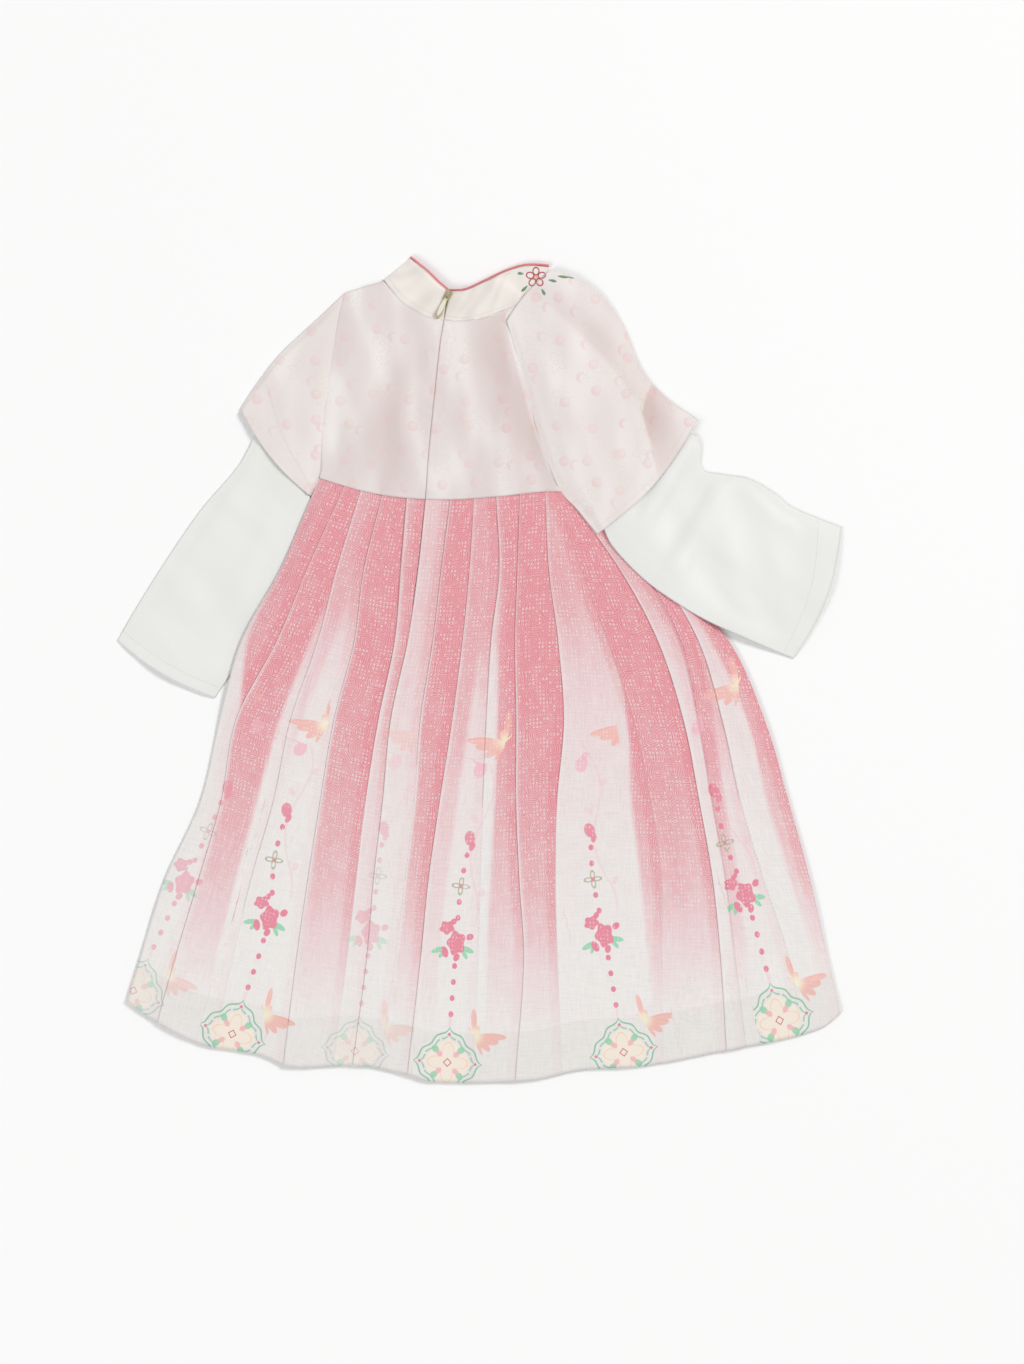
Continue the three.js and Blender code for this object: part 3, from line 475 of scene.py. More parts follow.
COLUMN_LEFT, COLUMN_RIGHT = -31, 56 # how far a column's motifs reach from its middle


def motif_at(x, y):
    """Distance across from the nearest column, distance up it, and how strongly it shows."""
    best = (200, 0, 0)
    for points, strength, gathered in COLUMNS:
        xs, heights = zip(*points)
        at = y
        for _ in range(2):
            middle = through(heights, xs, at)
            lean = through(heights, xs, at + 1) - middle
            size = math.hypot(lean, 1)
            at += ((x - middle) * lean + (y - at)) / size / size
        across = (x - through(heights, xs, at)) * size
        up = through(heights, COLUMN_STATIONS, at)
        across += gathered * ease((up - 262) / 2)
        if COLUMN_LEFT < across < COLUMN_RIGHT and abs(across - 8) < abs(best[0] - 8):
            best = (across, up, strength)
    return best


# ---- meshes -------------------------------------------------------------------------------
def new_piece(name, bm, material):
    mesh = bpy.data.meshes.new(name)
    for face in bm.faces:
        face.smooth = True
    bm.to_mesh(mesh)
    bm.free()
    mesh.materials.append(material)
    piece = bpy.data.objects.new(name, mesh)
    bpy.context.scene.collection.objects.link(piece)
    return piece


def add_wall(piece, thickness):
    wall = piece.modifiers.new("wall", "SOLIDIFY")
    wall.thickness = thickness
    wall.offset = 0
    wall.thickness_clamp = 1


def garment_piece(name, bm, material, node=None, wall=0):
    """A piece that goes with the garment, in place of a CAD node where one is named."""
    piece = new_piece(name, bm, material)
    if wall:
        add_wall(piece, wall)
    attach(piece, "garment")
    if node:
        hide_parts(node)
    return piece


def cloth_mesh(rows, closed=False):
    """A sheet through rows of points.  Each point: a place, then cloth u and v in millimetres,
    then the tone (the stripe's print with its painted fold shade and highlight, or painted shade
    off the print), the motif's three numbers and the height over the hem on a print."""
    across = len(rows[0]) + (1 if closed else 0)
    bm = bmesh.new()
    bmesh.ops.create_grid(bm, x_segments=across - 1, y_segments=len(rows) - 1, size=1)
    uv = bm.loops.layers.uv.new("cloth")
    tone = bm.verts.layers.float.new("tone")
    hem = bm.verts.layers.float.new("above_hem")
    motif = bm.verts.layers.float_vector.new("motif")
    spread = {}
    for k, vert in enumerate(bm.verts):
        j, i = divmod(k, across)
        point = rows[j][i % len(rows[0])]
        vert.co = place(*point[0])
        if len(point) > 3:
            vert[tone], vert[motif], vert[hem] = point[3:]
        spread[vert] = (point[1] + (0 if i < len(rows[0]) else across * 2), point[2])
    for face in bm.faces:
        for loop in face.loops:
            loop[uv].uv = spread[loop.vert]
    if closed:
        bmesh.ops.remove_doubles(bm, verts=bm.verts, dist=1e-6)
        bmesh.ops.recalc_face_normals(bm, faces=bm.faces)
    return bm


# Creases, listed one by one.  Each: points along it, half its width and its height; a trough is
# below zero.  It swells from nothing at its ends.  A fourth number is its half width on its right.
def from_line(points, x, y):
    """Distance from a line of points, below zero on its right, and the share along it."""
    best, share, side, count = 1e9, 0, 1, len(points) - 1
    for k in range(count):
        (ax, ay), (bx, by) = points[k], points[k + 1]
        dx, dy = bx - ax, by - ay
        t = clamp01(((x - ax) * dx + (y - ay) * dy) / (dx * dx + dy * dy))
        gap = math.hypot(x - ax - dx * t, y - ay - dy * t)
        if gap < best:
            best, share, side = gap, (k + t) / count, -1 if dx * (y - ay) < dy * (x - ax) else 1
    return best * side, share


def crease_at(creases, x, y):
    total = 0.0
    for points, width, height, *right in creases:
        gap, share = from_line(points, x, y)
        reach = right[0] if right and gap < 0 else width
        if abs(gap) < reach * 2.6:
            swell = math.sin(math.pi * mix(0.06, 0.94, share)) ** 0.7
            total += height * math.exp(-((gap / reach) ** 2)) * swell
    return total


# Painted shade: cloth is painted deeper where it dips or turns under.  Each: a line, how deep
# the painted shade on its right is, how far it reaches and over how much it starts.
def shade_at(shades, x, y):
    total = 0.0
    for points, depth, reach, start in shades:
        gap, share = from_line(points, x, y)
        if gap < 0:
            fade = math.exp(-((gap / reach) ** 2)) * ease(-gap / start)
            total += depth * fade * math.sin(math.pi * mix(0.1, 0.9, share)) ** 0.5
    return total


def ripple(x, y, across, along, seed):
    """Small uneven wrinkle, `across` and `along` the millimetres over which it changes."""
    return noise.noise(Vector((x / across, y / along, seed * 7.31)))


# ---- materials ----------------------------------------------------------------------------
def srgb(*parts):
    """A linear colour from red, green and blue of 0 to 255."""
    shares = [part / 255 for part in parts]
    return tuple(s / 12.92 if s <= 0.04 else ((s + 0.055) / 1.055) ** 2.4 for s in shares)


def maths(operation, reflected=False):
    """A method that adds a Math node on the socket and the other value."""
    def method(self, other=None):
        values = (self,) if other is None else (other, self) if reflected else (self, other)
        return self.cloth.math(operation, *values)
    return method


class Val:
    """A socket of a material, with its maths written as Python."""

    def __init__(self, cloth, socket):
        self.cloth = cloth
        self.socket = socket

    __add__ = __radd__ = maths("ADD")
    __mul__ = __rmul__ = maths("MULTIPLY")
    __sub__ = maths("SUBTRACT")
    __rsub__ = maths("SUBTRACT", reflected=True)
    __truediv__ = maths("DIVIDE")
    __abs__ = maths("ABSOLUTE")


class Finish:
    """A material, and the ways its nodes are made."""

    def __init__(self, name, **constants):
        self.material = bpy.data.materials.new(name)
        self.material.use_nodes = True
        self.tree = self.material.node_tree
        self.surface = self.tree.nodes["Principled BSDF"]
        for socket, value in constants.items():
            self.surface.inputs[socket.replace("_", " ")].default_value = value

    def node(self, kind, settings, inputs, output=0):
        made = self.tree.nodes.new(kind)
        for key, value in settings.items():
            setattr(made, key, value)
        for key, value in inputs.items():
            self.put(made.inputs[key], value)
        return Val(self, made.outputs[output])

    def put(self, socket, value):
        if isinstance(value, Val):
            self.tree.links.new(value.socket, socket)
        elif socket.type == "RGBA" and len(value) == 3:
            socket.default_value = (*value, 1)
        else:
            socket.default_value = value

    def math(self, operation, *values):
        return self.node("ShaderNodeMath", {"operation": operation}, dict(enumerate(values)))

    def mask(self, value, low, high):
        """0 at low and 1 at high, smooth between them, whichever is larger."""
        settings = {"interpolation_type": "SMOOTHSTEP"}
        return self.node("ShaderNodeMapRange", settings, {0: value, 1: low, 2: high})

    def paint(self, base, amount, colour, mode="MIX"):
        """The colour over the base where the amount is 1."""
        settings = {"data_type": "RGBA", "blend_type": mode}
        return self.node("ShaderNodeMix", settings, {0: amount, 6: base, 7: colour}, 2)

    def ramp(self, value, stops):
        made = self.tree.nodes.new("ShaderNodeValToRGB")
        while len(made.color_ramp.elements) < len(stops):
            made.color_ramp.elements.new(0.5)
        for element, (at, colour) in zip(made.color_ramp.elements, stops):
            element.position = at
            element.color = (*colour, 1)
        self.put(made.inputs[0], value)
        return Val(self, made.outputs[0])

    def attribute(self, name, output="Fac"):
        return self.node("ShaderNodeAttribute", {"attribute_name": name}, {}, output)

    def split(self, vector):
        return [self.node("ShaderNodeSeparateXYZ", {}, {0: vector}, k) for k in range(3)]

    def join(self, x, y, z=0.0):
        return self.node("ShaderNodeCombineXYZ", {}, {0: x, 1: y, 2: z})

    def moved(self, vector, at, turn=0.0, size=(1, 1)):
        """The vector as seen from a shape at `at`, turned by `turn` degrees, of this size."""
        inputs = {0: vector, 1: (*at, 0), 2: (0, 0, math.radians(turn)), 3: (*size, 1)}
        return self.node("ShaderNodeMapping", {"vector_type": "TEXTURE"}, inputs)

    def length(self, vector):
        return self.node("ShaderNodeVectorMath", {"operation": "LENGTH"}, {0: vector}, 1)

    def oval(self, vector, at, size, turn=0.0, soft=0.12):
        away = self.length(self.moved(vector, at, turn, size))
        return self.mask(away, 1 + soft, 1 - soft)

    def polar(self, vector):
        x, y, _ = self.split(vector)
        return self.length(vector), self.math("ARCTAN2", y, x)

    def noise(self, vector, scale, detail):
        inputs = {"Vector": vector, "Scale": scale, "Detail": detail}
        return self.node("ShaderNodeTexNoise", {}, inputs)

    def object_place(self):
        return self.node("ShaderNodeTexCoord", {}, {}, "Object")

    def bump(self, height, distance, strength):
        inputs = {"Height": height, "Distance": distance, "Strength": strength}
        self.put(self.surface.inputs["Normal"], self.node("ShaderNodeBump", {}, inputs))

    def colour(self, value):
        self.put(self.surface.inputs["Base Color"], value)

    def rough(self, value):
        self.put(self.surface.inputs["Roughness"], value)


def cloth_uv(f):
    """The cloth's own plane in millimetres, and its two parts."""
    uv = f.node("ShaderNodeUVMap", {"uv_map": "cloth"}, {})
    return uv, *f.split(uv)[:2]


def threads(f, u, v, pitch):
    """Warp and weft: a fine grid of raised threads, pitch in millimetres."""
    warp, weft = (f.math("SINE", part * (2 * math.pi / pitch)) for part in (u, v))
    return warp * weft


def dots(f, u, v, pitch, size):
    """Small soft dots on a grid of this pitch, in millimetres."""
    near = [f.math("WRAP", part, step / 2, -step / 2) for part, step in zip((u, v), pitch)]
    return f.oval(f.join(*near), (0, 0), size, soft=0.5)


def cell_number(f, u, v, pitch):
    """A number of its own for each cell of a grid of this pitch, in millimetres."""
    cell = [f.math("FLOOR", part / step + 0.5) for part, step in zip((u, v), pitch)]
    settings = {"noise_dimensions": "2D"}
    return f.node("ShaderNodeTexWhiteNoise", settings, {"Vector": f.join(*cell)})


PINK = srgb(232, 138, 158)
PINK_PALE = srgb(243, 184, 197)
LEAF = srgb(150, 214, 176)
LOOP = srgb(176, 178, 150)
OUTLINE = srgb(130, 196, 162)
CREAM = srgb(252, 238, 222)
APRICOT = srgb(250, 212, 174)
WING = srgb(244, 184, 174)
WING_ROOT = srgb(250, 240, 204)
WING_VEIN = srgb(240, 150, 140)
VEIN = srgb(250, 206, 208)
ROSE = srgb(214, 108, 128)
# Painted shade between the skirt cloth's threads, and painted highlight on them.
GROOVE_SHADE = srgb(214, 206, 206) # between threads of the skirt's cloth
CREST_HIGHLIGHT = srgb(255, 252, 250)  # and on them

# Wings of a butterfly: degrees round its body, length and spread in degrees.
WINGS = (
    (1, 28, 14), (-12, 22, 24), (-40, 19, 22), (-64, 18, 11),
    (96, 23, 14), (72, 9, 40), (132, 9, 10),
)


def butterfly(f, flat, colour, at, size, turn):
    """Pointed wings round a body, pale at the root."""
    away, angle = f.polar(f.moved(flat, at, turn, size))
    edge = 0.0
    for lean, reach, spread in WINGS:
        off = (angle - math.radians(lean)) / math.radians(spread)
        edge = f.math("MAXIMUM", f.math("EXPONENT", off * off * -1) * reach, edge)
    wing = f.paint(WING_ROOT, f.mask(away, 1, 11), WING)
    veins = f.mask(abs(f.math("SINE", angle * 11 + away * 0.1)), 0.35, 0.1) * f.mask(away, 5, 12)
    wing = f.paint(wing, veins * 0.4, WING_VEIN)
    return f.paint(colour, f.mask(away - edge, 0.7, -0.5) * 0.8, wing)


def bloom(f, flat, colour, at, size, turn):
    """Five-lobed flower with a few pale veins."""
    away, angle = f.polar(f.moved(flat, at, turn, size))
    edge = away + f.math("COSINE", angle * 5) * 0.13
    colour = f.paint(colour, f.mask(edge, 1.06, 0.94), PINK)
    veins = f.mask(abs(f.math("SINE", away * 9 + angle * 1.5)), 0.24, 0.1)
    return f.paint(colour, veins * f.mask(edge, 0.95, 0.6) * 0.5, VEIN)


def medallion(f, flat, colour):
    """Four-pointed medallion: folded so that one eighth of it is drawn."""
    x, y = (abs(part) for part in f.split(flat)[:2])
    along, aside = f.math("MAXIMUM", x, y), f.math("MINIMUM", x, y)
    away = f.length(flat)
    angle = f.math("ARCTAN2", aside, along)
    tip = f.math("EXPONENT", angle * -14) * 4.8
    edge = tip + 22 + f.mask(angle, math.radians(45), math.radians(22)) * 3.5
    share = away / edge
    colour = f.paint(colour, f.mask(share, 0.74, 0.7) * 0.75, CREAM)
    petals = f.math("COSINE", angle * 4) * 5 + 12.5
    colour = f.paint(colour, f.mask(abs(away - petals), 0.9, 0.3) * 0.8, APRICOT)
    for ring, amount in ((1, 0.9), (0.82, 0.75)):
        gap = f.mask(abs(angle - 0.34), 0.02, 0.07) if ring < 1 else 1.0
        line = f.mask(abs(share - ring) * edge, 0.95, 0.45) * gap
        colour = f.paint(colour, line * amount, OUTLINE)
    diagonal = f.moved(f.join(along, aside), (0, 0), 45)
    for at, size, petal in (((16, 0), (3.6, 2.8), LEAF), ((10.8, 0), (3, 2.2), PINK_PALE)):
        colour = f.paint(colour, f.oval(diagonal, at, size, soft=0.15) * 0.85, petal)
    colour = f.paint(colour, f.mask(abs(along - 24.6) + aside, 1.9, 1.4), PINK)
    return f.paint(colour, f.mask(abs(x + y - 3.4), 0.8, 0.3), ROSE)


# Parts of the flower column, each: its middle from the medallion's, its half sizes, its turn.
SPRIGS = (((19, 150), (4.5, 2.6), 60), ((2, 214), (4.5, 2.6), 130), ((20, 236), (4, 2.4), 50))
BUNCH_LEAVES = (
    ((-15.5, 97), (6.2, 2.3), 22), ((-12, 94), (4.5, 1.8), 62),
    ((9.5, 99), (6.6, 2.4), -18), ((8, 94.5), (4.6, 1.8), -56),
)
BUNCH_BUDS = (
    ((11.5, 110), (3.4, 2.7), 30), ((-9.5, 95.5), (3, 5), 20), ((1, 91.5), (2.6, 3.6), -20),
)
LOWER_BUD = (((0, 197), (4.6, 6.4), 10), ((3, 190), (2.4, 4), -20))
UPPER_BUD = (((4, 255), (5.4, 7), -30), ((8, 262), (2.4, 3.6), -40))
BEAD_RUNS = ((35, 91), (119, 147), (161, 189)) # from and to, up the column
BEAD_PITCH = 14
LOOP_AT = (0, 154)


def ovals(f, flat, colour, parts, petal, amount=None):
    for at, size, lean in parts:
        shape = f.oval(flat, at, size, lean)
        colour = f.paint(colour, shape * amount if amount else shape, petal)
    return colour


def flower_column(f, base):
    """The printed column: medallion, beads, bunch of flowers, loop, buds and butterflies."""
    across, up, strength = f.split(f.attribute("motif", "Vector"))
    flat = f.join(across, up)
    stem = abs(across - f.math("SINE", up / 17) * 7 - 10)
    span = f.mask(up, 112, 135) * f.mask(up, 300, 262)
    colour = f.paint(base, f.mask(stem, 1.5, 0.4) * span * 0.3, PINK_PALE)
    colour = ovals(f, flat, colour, SPRIGS, PINK_PALE, 0.3)
    cell = f.math("WRAP", up, BEAD_PITCH / 2, -BEAD_PITCH / 2)
    bead = f.oval(f.join(across, cell), (0, 0), (2.2, 2.6), soft=0.14)
    runs = [f.mask(up, low, low + 1) * f.mask(up, high, high - 1) for low, high in BEAD_RUNS]
    colour = f.paint(colour, bead * (runs[0] + runs[1] + runs[2]), PINK)
    for turn in (90, 180):
        x, y, _ = f.split(f.moved(flat, LOOP_AT, turn))
        rim = abs(f.length(f.moved(f.join(abs(x), y), (4, 0), 0, (3.3, 1.7))) - 1)
        colour = f.paint(colour, f.mask(rim, 0.4, 0.2) * 0.85, LOOP)
    colour = f.paint(colour, f.oval(flat, LOOP_AT, (1.5, 1.5), soft=0.2), PINK)
    colour = ovals(f, flat, colour, BUNCH_LEAVES, LEAF, 0.92)
    colour = bloom(f, flat, colour, (-9, 117), (6.2, 5.6), 20)
    colour = ovals(f, flat, colour, [((-3.5, 122.5), (2.4, 3), -40)], PINK)
    colour = bloom(f, flat, colour, (0, 104), (7.6, 10), 0)
    colour = ovals(f, flat, colour, BUNCH_BUDS, PINK)
    colour = ovals(f, flat, colour, LOWER_BUD, PINK, 0.9)
    colour = ovals(f, flat, colour, UPPER_BUD, PINK_PALE, 0.75)
    colour = f.paint(colour, f.oval(flat, (0, 36), (1.4, 7), 0, 0.5) * 0.3, PINK_PALE)
    colour = butterfly(f, flat, colour, (22, 25), (1, 1), 0)
    colour = butterfly(f, flat, colour, (50, 281), (-1.2, 1.1), 4)
    colour = f.paint(colour, f.mask(f.length(flat), 34, 33), medallion(f, flat, colour))
    return f.paint(base, strength, colour)


def scattered(f, u, v, spread, shift, loose=0.55):
    """Vector from the nearest of some scattered spots, in millimetres, and a number of its own."""
    vector = f.join(u / spread + shift, v / spread + shift)
    inputs = {"Vector": vector, "Scale": 1.0, "Randomness": loose}
    seat, own = (
        f.node("ShaderNodeTexVoronoi", {"voronoi_dimensions": "2D"}, inputs, output)
        for output in ("Position", "Color")
    )
    away = f.node("ShaderNodeVectorMath", {"operation": "SUBTRACT"}, {0: vector, 1: seat})
    away = f.node("ShaderNodeVectorMath", {"operation": "SCALE"}, {0: away, 3: spread})
    return away, f.split(own)[0]


def brocade(f, u, v):
    """Lines of the tone-on-tone weave: scrolled roses that fill the cloth."""
    spot, rank = scattered(f, u, v, 16.0, 0.0, 0.5)
    away, angle = f.polar(spot)
    scroll = f.math("SINE", away * 1.6 + f.math("SINE", angle * 3 + rank * 6) * 1.1 + angle)
    return f.mask(abs(scroll), 0.85, 0.25)


def linen(f, u, v):
    """Uneven warp and weft, about zero."""
    weft = f.noise(f.join(u / 16, v / 1.1), 1.0, 1)
    warp = f.noise(f.join(u / 1.1 + 40, v / 16), 1.0, 1)
    return weft + warp - 1.0


DOT_PITCH = (3.0, 3.5) # woven dots, across and down


def skirt_finish(name, props):
    """Organza: stripes by the tone on the mesh with their painted fold shade and highlight, linen
    grain with painted shade in its grooves and painted highlight on its crests, woven dots, print
    and sheer hem.
    """
    f = Finish(name, Roughness=0.72, Sheen_Weight=0.2, Sheen_Roughness=0.5)
    _, u, v = cloth_uv(f)
    tone, above_hem = f.attribute("tone"), f.attribute("above_hem")
    streaks = (f.noise(f.join(u / 3.2, v / 70), 1.0, 3) - 0.5) * f.mask(tone, 0.02, 0.4)
    mottles = (f.noise(f.join(u / 20, v / 34), 1.0, 3) - 0.5) * (tone * 0.46 + 0.08)
    colour = f.ramp(tone + mottles + streaks * 0.2, (
        (0, props.skirt_white), (0.25, props.skirt_pale),
        (0.6, props.skirt_mid), (1, props.skirt_pink),
    ))
    woven = brocade(f, u, v) * f.mask(tone, 0.25, 0.8)
    colour = f.paint(colour, woven * 0.65, props.skirt_figure, "MULTIPLY")
    grain = linen(f, u, v)
    # The grain is random; its grooves get painted shade and its crests painted highlight.
    plain = 1 - f.mask(tone, 0.3, 0.9) * 0.4
    colour = f.paint(colour, f.mask(grain, 0.05, -0.35) * plain * 0.18, GROOVE_SHADE, "MULTIPLY")
    colour = f.paint(colour, f.mask(grain, 0.05, 0.36) * plain * 0.2, CREST_HIGHLIGHT)
    colour = flower_column(f, colour)
    cluster = f.noise(f.join(u / 8, v / 13), 1.0, 2) + cell_number(f, u, v, DOT_PITCH) * 0.4
    opened = dots(f, u, v, DOT_PITCH, (0.7, 1.0)) * f.mask(cluster, 0.58, 0.94)
    opened = opened * f.mask(v, 480, 330)
    colour = f.paint(colour, opened * 0.7, props.skirt_white)
    sheer = f.mask(above_hem, LINING_SHORT + 1, LINING_SHORT - 1) * f.mask(above_hem, -6, -5)
    f.colour(f.paint(colour, sheer * 0.6, props.skirt_sheer, "MULTIPLY"))
    f.bump(grain + opened * 1.2, 0.00025, 0.6)
    return f.material


def jacquard_finish(name, props, ground, strength, painted_sheen_and_shade):
    """Bodice cloth: pale, with woven discs, crescents and small flowers in pink; broad patches of
    painted sheen and painted shade, and painted shade from the tone on the mesh.
    """
    f = Finish(name, Roughness=0.62, Sheen_Weight=0.3, Sheen_Roughness=0.4)
    _, u, v = cloth_uv(f)
    # Broad patches of painted shade and painted sheen, standing in for the light on satin.
    painted_sheen_patches = f.noise(f.join((u + v * 0.06) / 30, v / 84), 1.0, 1)
    colour = f.paint(ground, f.mask(painted_sheen_patches, 0.4, 0.66) * painted_sheen_and_shade, props.bodice_painted_shade)
    colour = f.paint(colour, f.mask(painted_sheen_patches, 0.5, 0.3) * 0.8 * painted_sheen_and_shade, props.bodice_painted_sheen)
    figure = 0.0
    for shift, spread in ((0.0, 27.0), (7.3, 33.0)):
        spot, rank = scattered(f, u, v, spread, shift)
        away = f.length(spot)
        rim = f.mask(abs(away - 4.1), 0.8, 0.3)
        shade = f.mask(f.length(f.moved(spot, (2, 1.4))), 1.2, 5.4) * 0.6 + 0.4
        disc = f.math("MAXIMUM", rim * 0.7, f.mask(away, 4.5, 4.0) * shade)
        disc = disc * f.mask(rank, 0.24, 0.26)
        if shift: # a crescent
            disc = disc * f.mask(f.length(f.moved(spot, (2, -1))), 3.0, 4.0)
        figure = f.math("MAXIMUM", disc * (rank * 0.5 + 0.5), figure)
    colour = f.paint(colour, figure * 0.54 * strength, props.bodice_figure)
    spot, rank = scattered(f, u, v, 26.0, 3.9)
    away, angle = f.polar(spot)
    edge = f.math("COSINE", angle * 5 + rank * 6) * 2.2 + 7.4
    petals = f.mask(abs(away - edge), 0.7, 0.3) + f.mask(abs(away - 2.2), 0.5, 0.25)
    petals = petals * f.mask(rank, 0.3, 0.32) * 0.55
    colour = f.paint(colour, petals * strength, props.bodice_sprig)
    # The tone on the mesh darkens the cloth as painted shade where it dips or turns under.
    f.colour(f.paint(colour, f.attribute("tone"), props.bodice_shade, "MULTIPLY"))
    f.rough(0.6 - figure * 0.14)
    f.bump(threads(f, u, v, 0.9) * 0.3 + figure * 0.5, 0.0002, 0.5)
    return f.material


def darker(colour, share):
    return tuple(part * share for part in colour)


def satin_finish(name, colour, pitch=0.7, rough=0.42, painted_sheen_and_shade=0.012, patch=(50, 80)):
    """Satin with a fine twill, darkened by painted shade in patches of this size."""
    f = Finish(name, Sheen_Weight=0.35, Sheen_Roughness=0.35)
    _, u, v = cloth_uv(f)
    painted_sheen_patches = f.noise(f.join((u + v * 0.7) / patch[0], v / patch[1]), 1.0, 1)
    f.colour(f.paint(colour, f.mask(painted_sheen_patches, 0.3, 0.75), darker(colour, 1 - painted_sheen_and_shade * 4)))
    f.rough(painted_sheen_patches * 0.14 + (rough - 0.07))
    f.bump(f.math("SINE", (u + v * 0.6) * (2 * math.pi / pitch)), 0.00005, 0.4)
    return f.material


def worn_finish(name, colour, grain, span, amount, share, **constants):
    """A finish that darkens in small patches, and the noise that says where."""
    f = Finish(name, **constants)
    worn = f.noise(f.object_place(), *grain)
    f.colour(f.paint(colour, f.mask(worn, *span) * amount, darker(colour, share)))
    return f, worn


def hard_finish(name, colour, rough):
    """Painted metal, a little rubbed."""
    f, worn = worn_finish(name, colour, (900.0, 3), (0.55, 0.75), 0.3, 0.8, Coat_Roughness=0.2)
    f.rough(worn * 0.2 + (rough - 0.1))
    f.bump(worn, 0.00005, 0.3)
    return f.material


def tab_finish(name, rim, face):
    """The pull tab: an enamelled face within a metal rim."""
    f = Finish(name, Coat_Roughness=0.15, Coat_Weight=0.3)
    low, high = (Vector(corner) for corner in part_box("zip_pull"))
    middle, half = (low + high) / 2, (high.y - low.y) / 2
    seat = f.moved(f.object_place(), (middle.x, middle.y), TAB_TURN)
    enamel = f.oval(seat, (0, -half * 0.14), (0.0019, half * 0.76))
    f.colour(f.paint(rim, enamel, face))
    f.rough(0.4 - enamel * 0.15)
    f.bump(enamel, 0.0002, 0.5)
    return f.material


def thread_finish(name, colour):
    constants = {"Roughness": 0.5, "Sheen_Weight": 0.4}
    f, uneven = worn_finish(name, colour, (700.0, 2), (0.35, 0.7), 0.35, 0.7, **constants)
    f.bump(uneven, 0.0001, 0.5)
    return f.material


def floor_finish(name, colour):
    return worn_finish(name, colour, (3.0, 2), (0.3, 0.7), 0.02, 0.95, Roughness=0.9)[0].material


# ---- sizes and colours --------------------------------------------------------------------
def cloth_colour(label, about, *parts):
    return bpy.props.FloatVectorProperty(
        name=label, description=about, subtype="COLOR", size=3, min=0, max=1, default=srgb(*parts)
    )


def length_of(label, about, value):
    return bpy.props.FloatProperty(
        name=label, description=about, subtype="DISTANCE", unit="LENGTH", min=0, default=value
    )


class DressSizes(bpy.types.PropertyGroup):
    wall: length_of("Wall", "Thickness of one layer of cloth", 0.0005)
    step: length_of("Step", "Distance between the points of a piece of cloth", 0.0024)
    skirt_wall: length_of("Skirt wall", "Thickness of the skirt's thinner cloth", 0.00035)
    seam_lap: length_of("Seam lap", "How far the bodice's waist edge lies over the skirt", 0.0009)
    thread: length_of("Thread", "Thickness of embroidery thread", 0.00045)


class DressColours(bpy.types.PropertyGroup):
    skirt_white: cloth_colour("Skirt white", "Ground of the skirt's cloth", 237, 234, 231)
    skirt_pale: cloth_colour("Skirt pale", "Palest pink of the skirt", 236, 216, 217)
    skirt_mid: cloth_colour("Skirt mid", "Middle pink of the skirt", 235, 187, 191)
    skirt_pink: cloth_colour("Skirt pink", "Full pink of the stripes", 236, 163, 171)
    skirt_figure: cloth_colour("Skirt figure", "Shade of the woven figures", 228, 168, 178)
    skirt_sheer: cloth_colour("Skirt hem", "Tint of the hem below the lining", 246, 246, 245)
    bodice_white: cloth_colour("Bodice white", "Ground of the bodice's cloth", 234, 225, 223)
    # The bodice's warmer patches are painted shade and its palest patches painted sheen.
    bodice_painted_shade: cloth_colour("Bodice blush", "Its warmer patches", 226, 214, 211)
    over_sleeve: cloth_colour("Over-sleeve", "Ground of the over-sleeves' cloth", 238, 230, 227)
    # Painted shade where the cloth dips or turns under.
    bodice_shade: cloth_colour(
        "Bodice shade", "Tint of cloth that dips or turns under", 236, 222, 220
    )
    bodice_painted_sheen: cloth_colour("Bodice sheen", "Its palest patches", 246, 242, 239)
    bodice_figure: cloth_colour("Bodice figure", "Woven discs of the bodice", 236, 202, 203)
    bodice_sprig: cloth_colour("Bodice sprig", "Small flowers of the bodice", 226, 222, 206)
    sleeve: cloth_colour("Sleeve", "Satin of the sleeves", 239, 239, 236)
    lining: cloth_colour("Lining", "Skirt lining", 248, 244, 242)
    collar: cloth_colour("Collar", "Satin of the collar", 245, 238, 231)
    piping: cloth_colour("Piping", "Cord on the collar's edge", 226, 130, 134)
    zip: cloth_colour("Zip", "Zip slider and the tab's rim", 186, 172, 138)
    tab: cloth_colour("Tab", "Enamelled face of the zip's tab", 236, 232, 216)
    bloom: cloth_colour("Bloom", "Embroidered petals", 206, 84, 108)
    leaf: cloth_colour("Leaf", "Embroidered leaves", 112, 168, 116)
    coil: cloth_colour("Coil", "Zip coil in its seam", 214, 184, 170)
    floor: cloth_colour("Floor", "The surface it lies on", 252, 252, 252)


